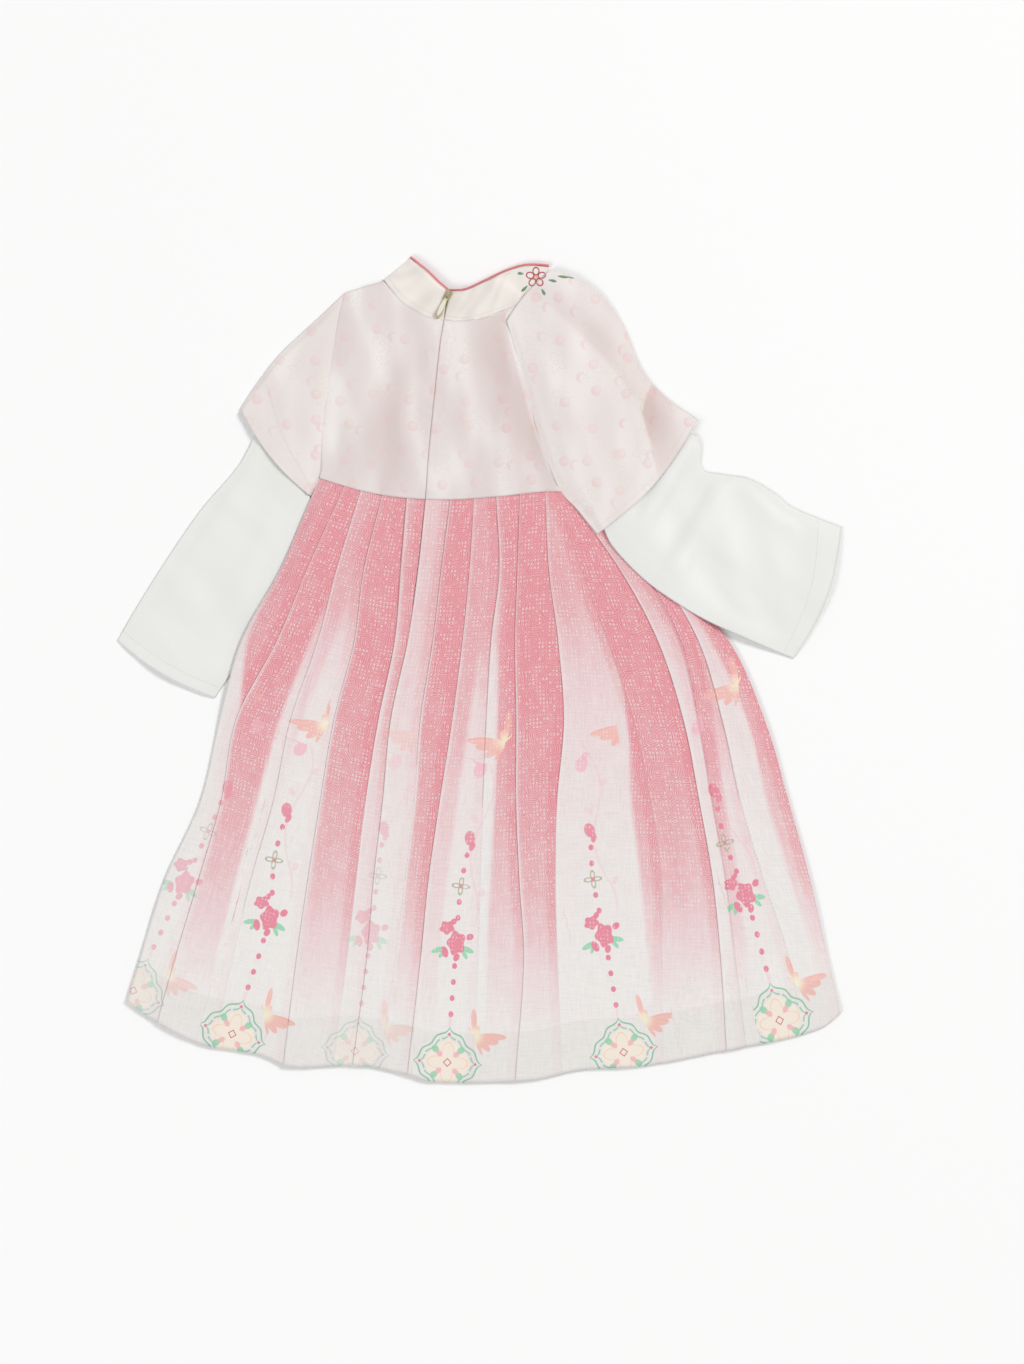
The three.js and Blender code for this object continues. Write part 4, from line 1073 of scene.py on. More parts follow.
# ---- skirt pieces -------------------------------------------------------------------------
# Soft creases laid on each piece: points along one, half its width, its height.
SKIRT_CREASES = [
    ([(-92, 4), (-112, -60), (-150, -150)], 5, 0.7),
    ([(-70, -60), (-98, -150), (-128, -290)], 5, 0.8),
    ([(-110, -260), (-132, -340), (-150, -440)], 7, 1.0),
    ([(-50, -30), (-70, -110), (-96, -230)], 4, 0.6),
    ([(-8, -120), (-20, -240), (-30, -400)], 5, 0.8),
    ([(14, -190), (6, -300), (0, -430)], 5, 0.7),
    ([(46, -40), (38, -150), (24, -330)], 5, 0.9),
    ([(60, -260), (62, -380), (64, -500)], 8, 0.9),
    ([(90, -20), (92, -130), (94, -330)], 4, 0.6),
    ([(120, -50), (140, -170), (152, -300)], 6, 0.9),
    ([(170, -160), (176, -280), (180, -430)], 7, 1.0),
    ([(216, -220), (226, -330), (232, -460)], 6, 0.9),
    ([(254, -230), (282, -350), (310, -470)], 6, 0.8),
    ([(240, -100), (290, -240), (322, -380)], 5, 0.7),
    ([(30, -440), (60, -470), (96, -500)], 8, 0.6),
    ([(-150, -420), (-120, -460), (-96, -496)], 8, 0.6),
]
LOOSE = 0.55      # height of the narrow ripples of the loose cloth
BILLOW = 0.7      # and of the wide ones lower down
HEM_RISE = 1.5    # how far the hem's waves stand up
HEM_REACH = 70    # and how far up the skirt they run
HEM_Z = 2.3       # middle of the back skirt at its hem, where no lining is under it
LOWEST = 0.35     # middle of the lowest layer, so that its wall stays over the plane
FAN = 430         # width of the skirt that its ripples are counted on
SECTIONS = 150    # rows of points down the skirt
CROWDED = 0.35    # how much closer they lie near the waist
STRIP_SHIFT = 100 # between the cloth planes of strips that lie side by side
UNSEEN = 50       # a distance from which no fold shades a strip


def skirt_rows(keys_at, step, height_at, short=0.0, back=True):
    """Rows of points for a skirt panel; the back's is pleated, creased and waved at its hem."""
    shares = [mix(k / SECTIONS, (k / SECTIONS) ** 1.5, CROWDED) for k in range(SECTIONS + 1)]
    sections = fill_in([keys_at(t) for t in shares], step)
    rows = []
    for t, section in zip(shares, sections):
        row, u, strip, edge, starts = [], 0.0, None, 0.0, {}
        for x, z, of_strip in section:
            starts.setdefault(of_strip, x)
        for k, (x, z, of_strip) in enumerate(section):
            if k:
                u += math.hypot(x - section[k - 1][0], z - section[k - 1][1])
            if of_strip != strip:
                strip, edge = of_strip, u
            waist, hem = waist_y(x) - SEAM_HALF, hem_y(x) + short
            y = mix(waist, hem, t)
            down = waist - y
            free = ease(down / 60)
            if back:
                risen = WAIST_RISE * (1 - ease(down / 16)) * waist_inset(x)
                z = z * mix(0.3, 1, ease(down / 24)) + risen
            fan = (x - skirt_left(y)) / (skirt_right(y) - skirt_left(y)) * FAN
            z += free * LOOSE * ripple(fan, down, 7, 110, 3)
            z += free * BILLOW * ease((down - 120) / 300) * ripple(fan, down, 17, 90, 43)
            base = height_at(x, y)
            if back:
                z += crease_at(SKIRT_CREASES, x, y) * free
                wave = ripple(x, 0, 26, 1, 90) * 0.5 + 0.5
                z += HEM_RISE * wave * ease((hem + HEM_REACH - y) / HEM_REACH)
                base = mix(min(base, HEM_Z), base, ease((y - hem) / LINING_SHORT))
                # Strips in NO_EDGE lie UNSEEN millimetres from any fold edge, so they get no
                # painted edge highlight; tone_at adds painted fold shade and highlight to the
                # print.
                from_edge = abs(x - starts[strip]) + (UNSEEN if strip in NO_EDGE else 0)
                to_edge = abs(starts.get(strip + 1, section[-1][0]) - x)
                tone = tone_at(strip, x, y, from_edge, to_edge)
            else:
                tone = front_tone(strip, x, y)
            across = u - edge + strip * STRIP_SHIFT
            point = (x, y, max(LOWEST, base + z))
            row.append((point, across, down, tone, motif_at(x, y), y - hem_y(x)))
        rows.append(row)
    return rows


def front_tone(strip, x, y):
    """Stripes of the front skirt: pink on every other strip."""
    return (0.85 if strip % 2 else 0.1) * max(0.0, stripe_fade(y - hem_y(x)))


def front_height(x, y):
    return FRONT_Z + lift_at(x, y)


class DRESS_OT_skirt_back(bpy.types.Operator):
    """Two back panels of the skirt, knife-pleated into the waist"""
    bl_idname = "dress.skirt_back"
    bl_label = "Back skirt"

    def execute(self, context):
        sizes, colours = context.scene.dress_sizes, context.scene.dress_colours
        finish = skirt_finish("skirt organza", colours)
        for node, keys_at, flat, area in (
            ("skirt_back_left", left_keys, (0.31, 0.51), 0.109),
            ("skirt_back_right", right_keys, (0.57, 0.51), 0.215),
        ):
            cloth = cloth_mesh(skirt_rows(keys_at, sizes.step * 1000, back_z))
            piece = garment_piece(node + "_cloth", cloth, finish, node, sizes.skirt_wall)
        return {"FINISHED"}


class DRESS_OT_skirt_front(bpy.types.Operator):
    """Front of the skirt, face down on the surface"""
    bl_idname = "dress.skirt_front"
    bl_label = "Front skirt"

    def execute(self, context):
        sizes, finish = context.scene.dress_sizes, bpy.data.materials["skirt organza"]
        cloth = cloth_mesh(skirt_rows(front_keys, 4.0, front_height, short=1.5, back=False))
        piece = garment_piece(
            "skirt_front_cloth", cloth, finish, "skirt_front", sizes.skirt_wall
        )
        return {"FINISHED"}


class DRESS_OT_lining(bpy.types.Operator):
    """Skirt lining under the back skirt"""
    bl_idname = "dress.lining"
    bl_label = "Lining"

    def execute(self, context):
        sizes, colours = context.scene.dress_sizes, context.scene.dress_colours
        down, across, rows = 100, 90, []
        for k in range(down + 1):
            t = k / down
            left = down_skirt(skirt_left, t, LINING_SHORT)[0] + LINING_INSET
            right = down_skirt(skirt_right, t, LINING_SHORT)[0] - LINING_INSET
            row = []
            for i in range(across + 1):
                x = mix(left, right, i / across)
                y = mix(waist_y(x) - SEAM_HALF, hem_y(x) + LINING_SHORT, t)
                z = LINING_Z + lift_at(x, y) + 0.3 * ripple(x, y, 18, 120, 3) * ease(-y / 40)
                row.append(((x, y, z), x, y))
            rows.append(row)
        finish = satin_finish("lining cotton", colours.lining)
        piece = garment_piece(
            "lining_back_cloth", cloth_mesh(rows), finish, "lining_back", sizes.wall
        )
        return {"FINISHED"}


# ---- bodice -------------------------------------------------------------------------------
def stretched(bottom, top, left, right):
    """A sheet stretched between four edges, each a function of 0..1 that gives x, y."""
    corners = [[edge(end) for end in (0, 1)] for edge in (left, right)]

    def plan(u, v):
        point = []
        for axis in (0, 1):
            flat = mix(bottom(u)[axis], top(u)[axis], v)
            bends = [
                edge(v)[axis] - mix(ends[0][axis], ends[1][axis], v)
                for edge, ends in zip((left, right), corners)
            ]
            point.append(flat + mix(bends[0], bends[1], u))
        return point

    return plan


def bodice_z(u, v):
    """Height of the back bodice a share u from its armhole to the zip, v from waist to shoulder."""
    levels = (0, 0.5, 1)
    return through(levels, [through(levels, row, u) for row in BODICE_HEIGHTS], v)


def lowered(line, drop):
    return [(x, y - drop) for x, y in line]


def waist_edge(start, end):
    def edge(u):
        x = mix(start, end, u)
        return x, waist_y(x) + SEAM_HALF
    return edge


def line_edge(line):
    return lambda t: on_line(line, t)


def bowed_edge(v):
    return bowed(ARMHOLE_LEFT["under"], ARMHOLE_LEFT["outer"], ARMHOLE_LEFT["bow"], v)


def armhole_left(v):
    x, y = bowed_edge(v)
    return x - 1.1 * math.sin(math.pi * clamp01(v)) ** 0.3, y


def zip_edge(side, low, high):
    def edge(v):
        y = mix(low, high, v)
        return zip_x(y) + side * ZIP_LIPS, y
    return edge


BODICE_CREASES = [
    ([(-64, 150), (-62, 90), (-60, 24)], 16, 2.0),
    ([(-40, 160), (-40, 100), (-34, 18)], 9, -1.6),
    ([(-22, 146), (-24, 90), (-20, 12)], 9, 1.4),
    ([(-86, 110), (-80, 66), (-82, 24)], 7, -1.3),
    ([(-8, 130), (-10, 80), (-10, 14)], 5, -0.8),
    ([(74, 136), (64, 100), (56, 76), (54, 40)], 9, -2.0, 14),
    ([(80, 140), (70, 96), (64, 50)], 11, 1.0),
    ([(36, 146), (30, 96), (22, 24)], 11, 1.6),
    ([(48, 140), (46, 100), (40, 60)], 6, -0.9),
    ([(50, 34), (42, 16), (40, 4)], 4, 1.0),
    ([(98, 90), (90, 50), (82, 12)], 8, -1.2),
    ([(-90, 34), (-62, 58), (-28, 66)], 12, 1.0),
    ([(20, 150), (40, 156), (66, 162)], 5, -0.7),
]
PUCKER = 1.7       # height of the puckers along the zip
SIDE_SLACK = 0.45  # of the long ripples over the rest of the back
ARMHOLE_SUNK = 0.6 # how far the back's edge lies down at the armhole


def bodice_mesh(plan, height_at, across, up, lap, shades):
    """A panel over its plan; the two lowest rows lap over the skirt."""
    rows = []
    for j in range(up + 1):
        v = j / up
        row = []
        for i in range(across + 1):
            u = i / across
            x, y = plan(u, v)
            edge = 1 - ease((y - waist_y(x)) / 8)
            point = x, y - lap * max(0, 1 - v * up / 2), height_at(u, v, x, y, edge)
            # The tone carries the painted shade of the shade lines.
            row.append((point, x, y, shade_at(shades, x, y), (0, 0, 0), 0))
        rows.append(row)
    return cloth_mesh(rows)


# Painted shade on the back bodice, as lines that shade_at reads.
BODICE_SHADES = [
    ([(-58, 2), (-60, 50), (-50, 122)], 0.6, 44, 24),
    ([(70, 152), (80, 112), (92, 66), (108, 22)], 0.7, 36, 3),
]
WAIST_STEP = 0.5 # from the skirt's cloth up to the bodice's at their seam


def back_height(flip):
    def height(u, v, x, y, edge):
        z = bodice_z(1 - u if flip else u, v)
        inner = ease(min(u, 1 - u) / 0.08) * ease(min(v, 1 - v) / 0.06)
        z += crease_at(BODICE_CREASES, x, y) * inner
        z += SIDE_SLACK * ripple(x, y, 16, 46, 11) * inner
        beside = abs(x - zip_x(y)) - ZIP_LIPS
        pucker = PUCKER * ripple(beside * 0.2, y, 1, 5, 21 + flip)
        z += pucker * math.exp(-beside / 8) * ease(beside / 2.5)
        armhole = ARMHOLE_SUNK * math.exp(-60 * (1 if flip else u))
        z -= 0.15 * (1 - ease((1 - v) * 26)) + armhole
        return mix(z, back_z(x, y) + WAIST_RISE * waist_inset(x) + WAIST_STEP, edge)
    return height


class DRESS_OT_bodice(bpy.types.Operator):
    """Front of the bodice and the two halves of its back"""
    bl_idname = "dress.bodice"
    bl_label = "Bodice"

    def execute(self, context):
        sizes, colours = context.scene.dress_sizes, context.scene.dress_colours
        finish = jacquard_finish("bodice jacquard", colours, colours.bodice_white, 1, 0.85)
        neck_left = lowered(COLLAR_LEFT["seam"][::-1], 0.1)
        neck_right = lowered(COLLAR_RIGHT["seam"], 0.1)
        middle = waist_y(-2) + SEAM_HALF
        left = stretched(
            waist_edge(ARMHOLE_LEFT["under"][0], zip_x(middle) - ZIP_LIPS),
            line_edge(SHOULDER_LEFT + neck_left[1:]),
            armhole_left,
            zip_edge(-1, middle, neck_left[-1][1]),
        )
        right = stretched(
            waist_edge(zip_x(middle) + ZIP_LIPS, SIDE_RIGHT[0][0]),
            line_edge(neck_right[:-1] + SHOULDER_RIGHT),
            zip_edge(1, middle, neck_right[0][1]),
            line_edge(SIDE_RIGHT),
        )
        neck = COLLAR_LEFT["seam"][::-1][1:] + COLLAR_RIGHT["seam"][1:-1]
        neck = lowered(neck, COLLAR_FRONT_DROP + 3)
        front = stretched(
            waist_edge(ARMHOLE_LEFT["under"][0], SIDE_RIGHT[0][0]),
            line_edge(SHOULDER_LEFT + neck + SHOULDER_RIGHT),
            bowed_edge,
            line_edge(SIDE_RIGHT),
        )
        lap = sizes.seam_lap * 1000
        low = lambda u, v, x, y, edge: FRONT_Z + 0.15 * ripple(x, y, 20, 50, 31)
        for node, plan, height, across, lapped, flat, area in (
            ("bodice_back_left", left, back_height(False), 60, lap, (0.11, 0.19), 0.016),
            ("bodice_back_right", right, back_height(True), 80, lap, (0.15, 0.19), 0.019),
            ("bodice_front", front, low, 70, 0, (0.25, 0.19), 0.035),
        ):
            cloth = bodice_mesh(plan, height, across, 100, lapped, BODICE_SHADES if lapped else ())
            piece = garment_piece(node + "_cloth", cloth, finish, node, sizes.wall)
        return {"FINISHED"}


# ---- sleeves ------------------------------------------------------------------------------
def bed_right(x, y):
    """Height of the right sleeve's lowest layer over the bodice, the skirt and the plane."""
    levels = [row[0] for row in BED]
    edge = through(levels, [row[1] for row in BED], y)
    height = through(levels, [row[2] for row in BED], y)
    return mix(FRONT_Z, height, 1 - ease(((x - edge) * 0.8 - 2) / BED_RAMP))


SLIM = 0.8         # between the middles of a sleeve's two layers at its folded sides
ROOM_LEFT = 0.75   # what a crease leaves between them elsewhere
LOWER_SHIFT = -600 # from the upper layer to the lower one on the cloth's plane


def sleeve_sides(table, share):
    """A sleeve's two folded sides a share along it, and which way its cuff bows out."""
    under, outer = (on_line([row[side] for row in table], share) for side in (0, 1))
    return under, outer, 1 if table[0][1][0] > table[-1][1][0] else -1


# Painted shade on the right over-sleeve, beside its fold and its diagonal crease.
OVER_RIGHT_SHADES = [
    ([(196, 40), (191, 58), (187, 72), (190, 86), (196, 100)], 0.95, 26, 2.5),
    ([(184, 78), (160, 110), (134, 138), (104, 166)], 0.45, 26, 6),
]


def bed_flat(x, y):
    return FRONT_Z


def sleeve_rows(table, bed_at, creases, stages, across, seed, wrinkle, slim, sunk=0.0, shades=()):
    """A flattened tube through a sleeve's sections, as rings of points.  It is slim near its
    folded sides over slim[0] millimetres at the shoulder and slim[1] at the cuff."""
    order, rows = range(len(table)), []
    for k in range(stages + 1):
        down = k / stages
        under, outer, facing = sleeve_sides(table, down)
        width = math.dist(under, outer)
        bow, lift, room, swell = (
            through(order, [row[column] for row in table], (len(table) - 1) * k / stages)
            for column in (2, 3, 4, 5)
        )
        lower, upper = [], []
        for i in range(across + 1):
            share = mix(i / across, (1 - math.cos(math.pi * i / across)) / 2, 0.6)
            x, y = bowed(under, outer, bow * facing, share)
            low = bed_at(x, y) + lift
            low -= sunk * (1 - ease(share * width / 8)) * (1 - ease(down * 2 - 1)) * ease(down * 12)
            inside = min(share, 1 - share) * width
            tall = room + swell * math.sin(math.pi * share) ** 2
            tall = mix(SLIM, tall, ease(inside / mix(*slim, down)))
            round_off = (1 - abs(2 * share - 1) ** 24) ** 0.5
            middle, half = low + tall / 2, tall / 2 * round_off
            soft = round_off * ease(share / 0.1) * ease((1 - share) / 0.1)
            crease = crease_at(creases, x, y) + wrinkle * ripple(x + y * 0.4, y, 26, 40, seed)
            crease *= soft
            spare = max(0.05, 2 * half - ROOM_LEFT) # a trough stays over the lower layer
            top = middle + half + (crease if crease > 0 else spare * (math.exp(crease / spare) - 1))
            lower.append(((x, y, middle - half), LOWER_SHIFT - x, y, 0, (0, 0, 0), 0))
            # The upper layer carries painted shade in its tone.
            upper.append(((x, y, top), x, y, shade_at(shades, x, y), (0, 0, 0), 0))
        rows.append(lower + upper[-2:0:-1])
    return rows


SLEEVE_LEFT_CREASES = [
    ([(-146, 40), (-192, -36), (-238, -112)], 13, 1.7),
    ([(-138, 20), (-176, -60), (-212, -132)], 11, -1.7),
    ([(-122, 6), (-156, -70), (-190, -146)], 12, 1.5),
    ([(-116, -30), (-146, -92), (-176, -152)], 7, -1.1),
    ([(-162, 26), (-204, -34), (-244, -96)], 5, -0.8, 9),
    ([(-112, -16), (-132, -70)], 6, 1.1),
    ([(-250, -92), (-222, -132), (-192, -164)], 4, -0.5),
]
SLEEVE_RIGHT_CREASES = [
    ([(246, 26), (236, 4), (216, -28), (200, -58)], 9, -3.6, 15),
    ([(262, 16), (246, -14), (228, -48), (210, -80)], 11, 2.5),
    ([(230, 44), (212, 14), (192, -22)], 9, 2.8),
    ([(222, 56), (196, 20), (172, -24)], 8, -2.2),
    ([(286, 14), (298, 0), (312, -14), (330, -20)], 5, -1.5, 9),
    ([(286, 4), (304, -14), (326, -30)], 9, 1.2),
    ([(336, -10), (333, -30), (326, -48)], 6, -0.9, 9),
    ([(258, -14), (266, -60), (276, -104)], 13, 1.8),
    ([(232, -60), (254, -92), (286, -120)], 12, -1.8),
    ([(300, -40), (310, -80), (318, -120)], 11, 1.5),
]
OVER_LEFT_CREASES = [
    ([(-84, 160), (-96, 100), (-102, 40)], 6, 1.2),
    ([(-92, 162), (-118, 100), (-128, 40)], 8, 1.4),
    ([(-100, 150), (-134, 96), (-146, 66)], 8, -1.3),
    ([(-88, 120), (-100, 60), (-104, 14)], 5, -0.9),
    ([(-110, 142), (-146, 96), (-158, 84)], 6, 0.8),
]
OVER_RIGHT_CREASES = [
    ([(88, 184), (121, 157), (157, 129), (185, 112)], 6, -2.2, 11),
    ([(104, 190), (136, 168), (172, 138)], 9, 1.5),
    ([(76, 154), (108, 108), (136, 60), (156, 8)], 11, 1.5),
    ([(92, 140), (124, 94), (154, 40), (172, 2)], 9, -1.6),
    ([(108, 150), (144, 106), (174, 60), (196, 32)], 9, 1.3),
    ([(198, 40), (192, 58), (189, 72), (192, 86), (198, 98)], 3, -1.3, 15),
    ([(188, 44), (184, 60), (181, 74), (184, 90), (188, 106)], 7, 1.4, 2.5),
    ([(92, 96), (108, 50), (128, 6)], 7, -1.1),
]


def sleeve_piece(sizes, finish, slot, node, flat, area, **shape):
    rows = sleeve_rows(seed=len(node), **shape)
    cloth = cloth_mesh(rows, closed=True)
    piece = garment_piece(node + "_cloth", cloth, finish, node, sizes.wall)


class DRESS_OT_sleeves(bpy.types.Operator):
    """Long satin sleeves, each a flattened tube open at its cuff"""
    bl_idname = "dress.sleeves"
    bl_label = "Sleeves"

    def execute(self, context):
        sizes, colours = context.scene.dress_sizes, context.scene.dress_colours
        finish = satin_finish("sleeve satin", colours.sleeve)
        alike = dict(across=64, wrinkle=0.45, slim=(12, 12))
        sleeve_piece(
            sizes, finish, "sleeve", "sleeve_left", (0.25, 0.24), 0.046, **alike,
            table=SLEEVE_LEFT, bed_at=bed_flat, creases=SLEEVE_LEFT_CREASES, stages=100,
        )
        sleeve_piece(
            sizes, finish, "sleeve", "sleeve_right", (0.25, 0.3), 0.063, **alike,
            table=SLEEVE_RIGHT, bed_at=bed_right, creases=SLEEVE_RIGHT_CREASES, stages=110,
        )
        return {"FINISHED"}


class DRESS_OT_over_sleeves(bpy.types.Operator):
    """Wide short over-sleeves of the bodice's cloth"""
    bl_idname = "dress.over_sleeves"
    bl_label = "Over-sleeves"

    def execute(self, context):
        sizes, colours = context.scene.dress_sizes, context.scene.dress_colours
        finish = jacquard_finish("over-sleeve jacquard", colours, colours.over_sleeve, 1.15, 0.4)
        alike = dict(across=84, wrinkle=0.5, stages=100)
        sleeve_piece(
            sizes, finish, "bodice", "over_sleeve_left", (0.27, 0.08), 0.016, **alike,
            table=OVER_SLEEVE_LEFT, bed_at=bed_flat, creases=OVER_LEFT_CREASES, slim=(12, 4),
        )
        sleeve_piece(
            sizes, finish, "bodice", "over_sleeve_right", (0.29, 0.2), 0.044, **alike,
            table=OVER_SLEEVE_RIGHT, bed_at=bed_right, creases=OVER_RIGHT_CREASES, slim=(40, 8),
            sunk=EDGE_SUNK, shades=OVER_RIGHT_SHADES,
        )
        return {"FINISHED"}


# ---- collar and zip -----------------------------------------------------------------------
def collar_line(share):
    """Key points of the collar from the zip round the back of it, at a share of its height."""
    def between(half):
        pairs = zip(half["seam"], half["top"])
        return [[mix(a, b, share) for a, b in zip(*pair)] for pair in pairs]

    def back(line):
        last = len(line) - 1
        return [
            (x, y, mix(COLLAR_BACK_Z, COLLAR_FOLD_Z, ease(i / last)))
            for i, (x, y) in enumerate(line)
        ]

    left, right = between(COLLAR_LEFT), between(COLLAR_RIGHT)
    under = left[::-1] + right
    drops = [0, *[COLLAR_FRONT_DROP] * (len(under) - 2), 0]
    front = [(x, y - drop, FRONT_Z) for (x, y), drop in zip(under, drops)]
    return [*back(left), *front, *back(right)[::-1]]


def along_path(path, count, low=0, high=None):
    """Points of the smooth line through a path, in equal steps from key point low to high."""
    high = len(path) - 1 if high is None else high
    places, lines = range(len(path)), list(zip(*path))
    steps = [mix(low, high, k / count) for k in range(count + 1)]
    return [[through(places, line, at) for line in lines] for at in steps]


class DRESS_OT_collar(bpy.types.Operator):
    """Stand collar with its cord edge, folded flat at both sides of the neck"""
    bl_idname = "dress.collar"
    bl_label = "Collar"

    def execute(self, context):
        sizes, colours = context.scene.dress_sizes, context.scene.dress_colours
        across, stations = 16, 230
        lines = [
            along_path(collar_line(mix(-0.06, 1, k / across)), stations) for k in range(across + 1)
        ]
        rows, run, last = [], 0.0, None
        for points in zip(*lines):
            row = []
            for k, (x, y, z) in enumerate(points):
                share = k / across
                crown = 0.5 * math.sin(math.pi * share) + 2.6 * ripple(x + y * 0.8, y, 16, 40, 5)
                rim = math.exp(-((share - 0.09) / 0.05) ** 2) * -0.3
                if k not in (0, across):
                    z += (crown + rim) * ease((z - 2) / 0.8) * 0.9
                row.append((x, y, z))
            middle = row[across // 2]
            run += math.dist(middle, last) if last else 0
            last = middle
            rows.append([(point, run, k * 1.6) for k, point in enumerate(row)])
        finish = satin_finish(
            "collar satin", colours.collar, rough=0.34, painted_sheen_and_shade=0.035, patch=(16, 40)
        )
        cloth = cloth_mesh(rows)
        piece = garment_piece("collar_band", cloth, finish, "collar", sizes.wall)
        return {"FINISHED"}


def tube_mesh(path, radius, around=10):
    """Cord along a path: rings of points, closed at both ends."""
    rows = []
    for k, at in enumerate(path):
        ahead = Vector(path[min(k + 1, len(path) - 1)]) - Vector(path[max(k - 1, 0)])
        side = Vector((ahead.y, -ahead.x, 0)).normalized()
        up = side.cross(ahead).normalized()
        if up.z < 0:
            up, side = -up, -side
        ring = []
        for i in range(around):
            turn = 2 * math.pi * i / around
            off = side * math.cos(turn) * radius + up * math.sin(turn) * radius
            ring.append((tuple(Vector(at) + off), i * radius * 0.6, k * 0.5))
        rows.append(ring)
    bm = cloth_mesh(rows, closed=True)
    bmesh.ops.holes_fill(bm, edges=[e for e in bm.edges if e.is_boundary])
    bmesh.ops.recalc_face_normals(bm, faces=bm.faces)
    return bm


def piping_path():
    """The collar's top edge, moved out square to it."""
    edge = collar_line(1)
    off = PIPING_RADIUS + 0.35
    path = []
    for i, at in enumerate(edge):
        before, after = edge[max(0, i - 1)], edge[min(len(edge) - 1, i + 1)]
        at_fold = after is not at and math.dist(at[:2], after[:2]) < 1e-6
        if before is not at and math.dist(at[:2], before[:2]) < 1e-6:
            continue
        other = before if after is at or at_fold else after
        run = math.dist(at[:2], other[:2]) * (1 if at[0] > other[0] else -1)
        dx, dy = (at[0] - other[0]) / run, (at[1] - other[1]) / run
        if at_fold:
            past = (1 if run > 0 else -1) * off
            path.append((at[0] + dx * past - dy * off, at[1] + dy * past + dx * off, PIPING_FOLD_Z))
        else:
            path.append((at[0] - dy * off, at[1] + dx * off, max(at[2], PIPING_RADIUS * 1.1)))
    return path


class DRESS_OT_piping(bpy.types.Operator):
    """Pink cord along the collar's top edge"""
    bl_idname = "dress.piping"
    bl_label = "Piping"

    def execute(self, context):
        colour = context.scene.dress_colours.piping
        finish = satin_finish("piping satin", colour, pitch=1.1, rough=0.5, painted_sheen_and_shade=0.03)
        cord = tube_mesh(along_path(piping_path(), 260), PIPING_RADIUS)
        garment_piece("collar_piping", cord, finish, "piping")
        return {"FINISHED"}


COIL_RIDGE = (0.0, 0.28, 0.34, 0.12) # heights over one turn of the coil
COIL_SUNK = 0.45 # from the zip's height down to the coil's tape


class DRESS_OT_zip(bpy.types.Operator):
    """Zip down the middle of the back: coil, slider and pull tab"""
    bl_idname = "dress.zip"
    bl_label = "Zip"

    def execute(self, context):
        colours = context.scene.dress_colours
        rows, steps, half = [], 700, 4
        for k in range(steps + 1):
            y = mix(ZIP_END_Y, ZIP_TOP_Y - 0.4, k / steps)
            row = []
            for i in range(-half, half + 1):
                across = i / half
                lobe = 1 if (k // 4 + (i > 0)) % 2 else 0.4
                coil = COIL_RIDGE[k % 4] * lobe * (1 - across * across)
                point = (zip_x(y) + across * CHAIN_HALF, y, zip_z(y) - COIL_SUNK + coil)
                row.append((point, across * 2, y))
            rows.append(row)
        finish = hard_finish("zip nylon", colours.coil, 0.45)
        garment_piece("zip_coil", cloth_mesh(rows), finish, "zip_chain", 0.0006)
        for node, finish in (
            ("zip_slider", hard_finish("zip enamel", colours.zip, 0.3)),
            ("zip_pull", tab_finish("tab enamel", colours.zip, colours.tab)),
        ):
            for slot in bpy.data.objects[node].material_slots:
                slot.material = finish
        return {"FINISHED"}


# ---- thread -------------------------------------------------------------------------------
def surface_under(names):
    """Height of the highest of the named pieces at a point of the plan, in millimetres."""
    graph = bpy.context.evaluated_depsgraph_get()
    trees = [BVHTree.FromObject(bpy.data.objects[name], graph) for name in names]

    def height(x, y):
        start = place(x, y, 60)
        hits = [tree.ray_cast(start, Vector((0, 0, -1))) for tree in trees]
        heights = [(hit[0].z - ORIGIN.z) * 1000 for hit in hits if hit[0] is not None]
        return max(heights) if heights else None

    return height


def add_stitch(bm, start, end, thick, height):
    """One stitch of thread from start to end on the plan, following the cloth between them."""
    middle = ((start[0] + end[0]) / 2, (start[1] + end[1]) / 2)
    heights = [height(*at) for at in (start, middle, end)]
    if None in heights:
        return
    a, b = place(*start, heights[0]), place(*end, heights[2])
    run = b - a
    seat = Matrix.Translation((a + b) / 2 + Vector((0, 0, thick * 0.3)))
    turn = run.to_track_quat("X", "Z").to_matrix().to_4x4()
    size = Matrix.Diagonal((run.length / 2 + thick * 0.3, thick / 2, thick * 0.45, 1))
    bmesh.ops.create_icosphere(bm, subdivisions=1, radius=1, matrix=seat @ turn @ size)


def stitch_run(bm, points, pitch, length, thick, height):
    """Stitches along a line of plan points."""
    ahead = 0.0
    for a, b in zip(points, points[1:]):
        run = math.dist(a, b)
        while ahead < run:
            start, end = (
                [mix(p, q, at / run) for p, q in zip(a, b)] for at in (ahead, ahead + length)
            )
            add_stitch(bm, start, end, thick, height)
            ahead += pitch
        ahead -= run


def aside(middle, lean, along, across):
    """The point `along` and `across` a line that leans this much, from its middle."""
    return (
        middle[0] + along * math.cos(lean) - across * math.sin(lean),
        middle[1] + along * math.sin(lean) + across * math.cos(lean),
    )


FLOWER_AT = (95, 192)
PETAL_REACH = 5.4      # from the flower's middle to a petal's
PETAL_RIMS = ((3.9, 3.3), (2.7, 2.1)) # half sizes of the outer and inner end of its stitches
LEAF_HALF = 1.7
PETAL_STITCHES = 44
CENTRE_STITCHES = 16
LEAF_STITCHES = 22
# Each leaf: where it starts, the degrees it leans and its length.
LEAVES = (
    ((87.5, 184.5), 222, 7), ((100, 181.5), -62, 6), ((106, 189.5), -12, 7),
    ((84, 195), 172, 5), ((114, 193), -8, 9), ((122, 192.4), -4, 9),
)


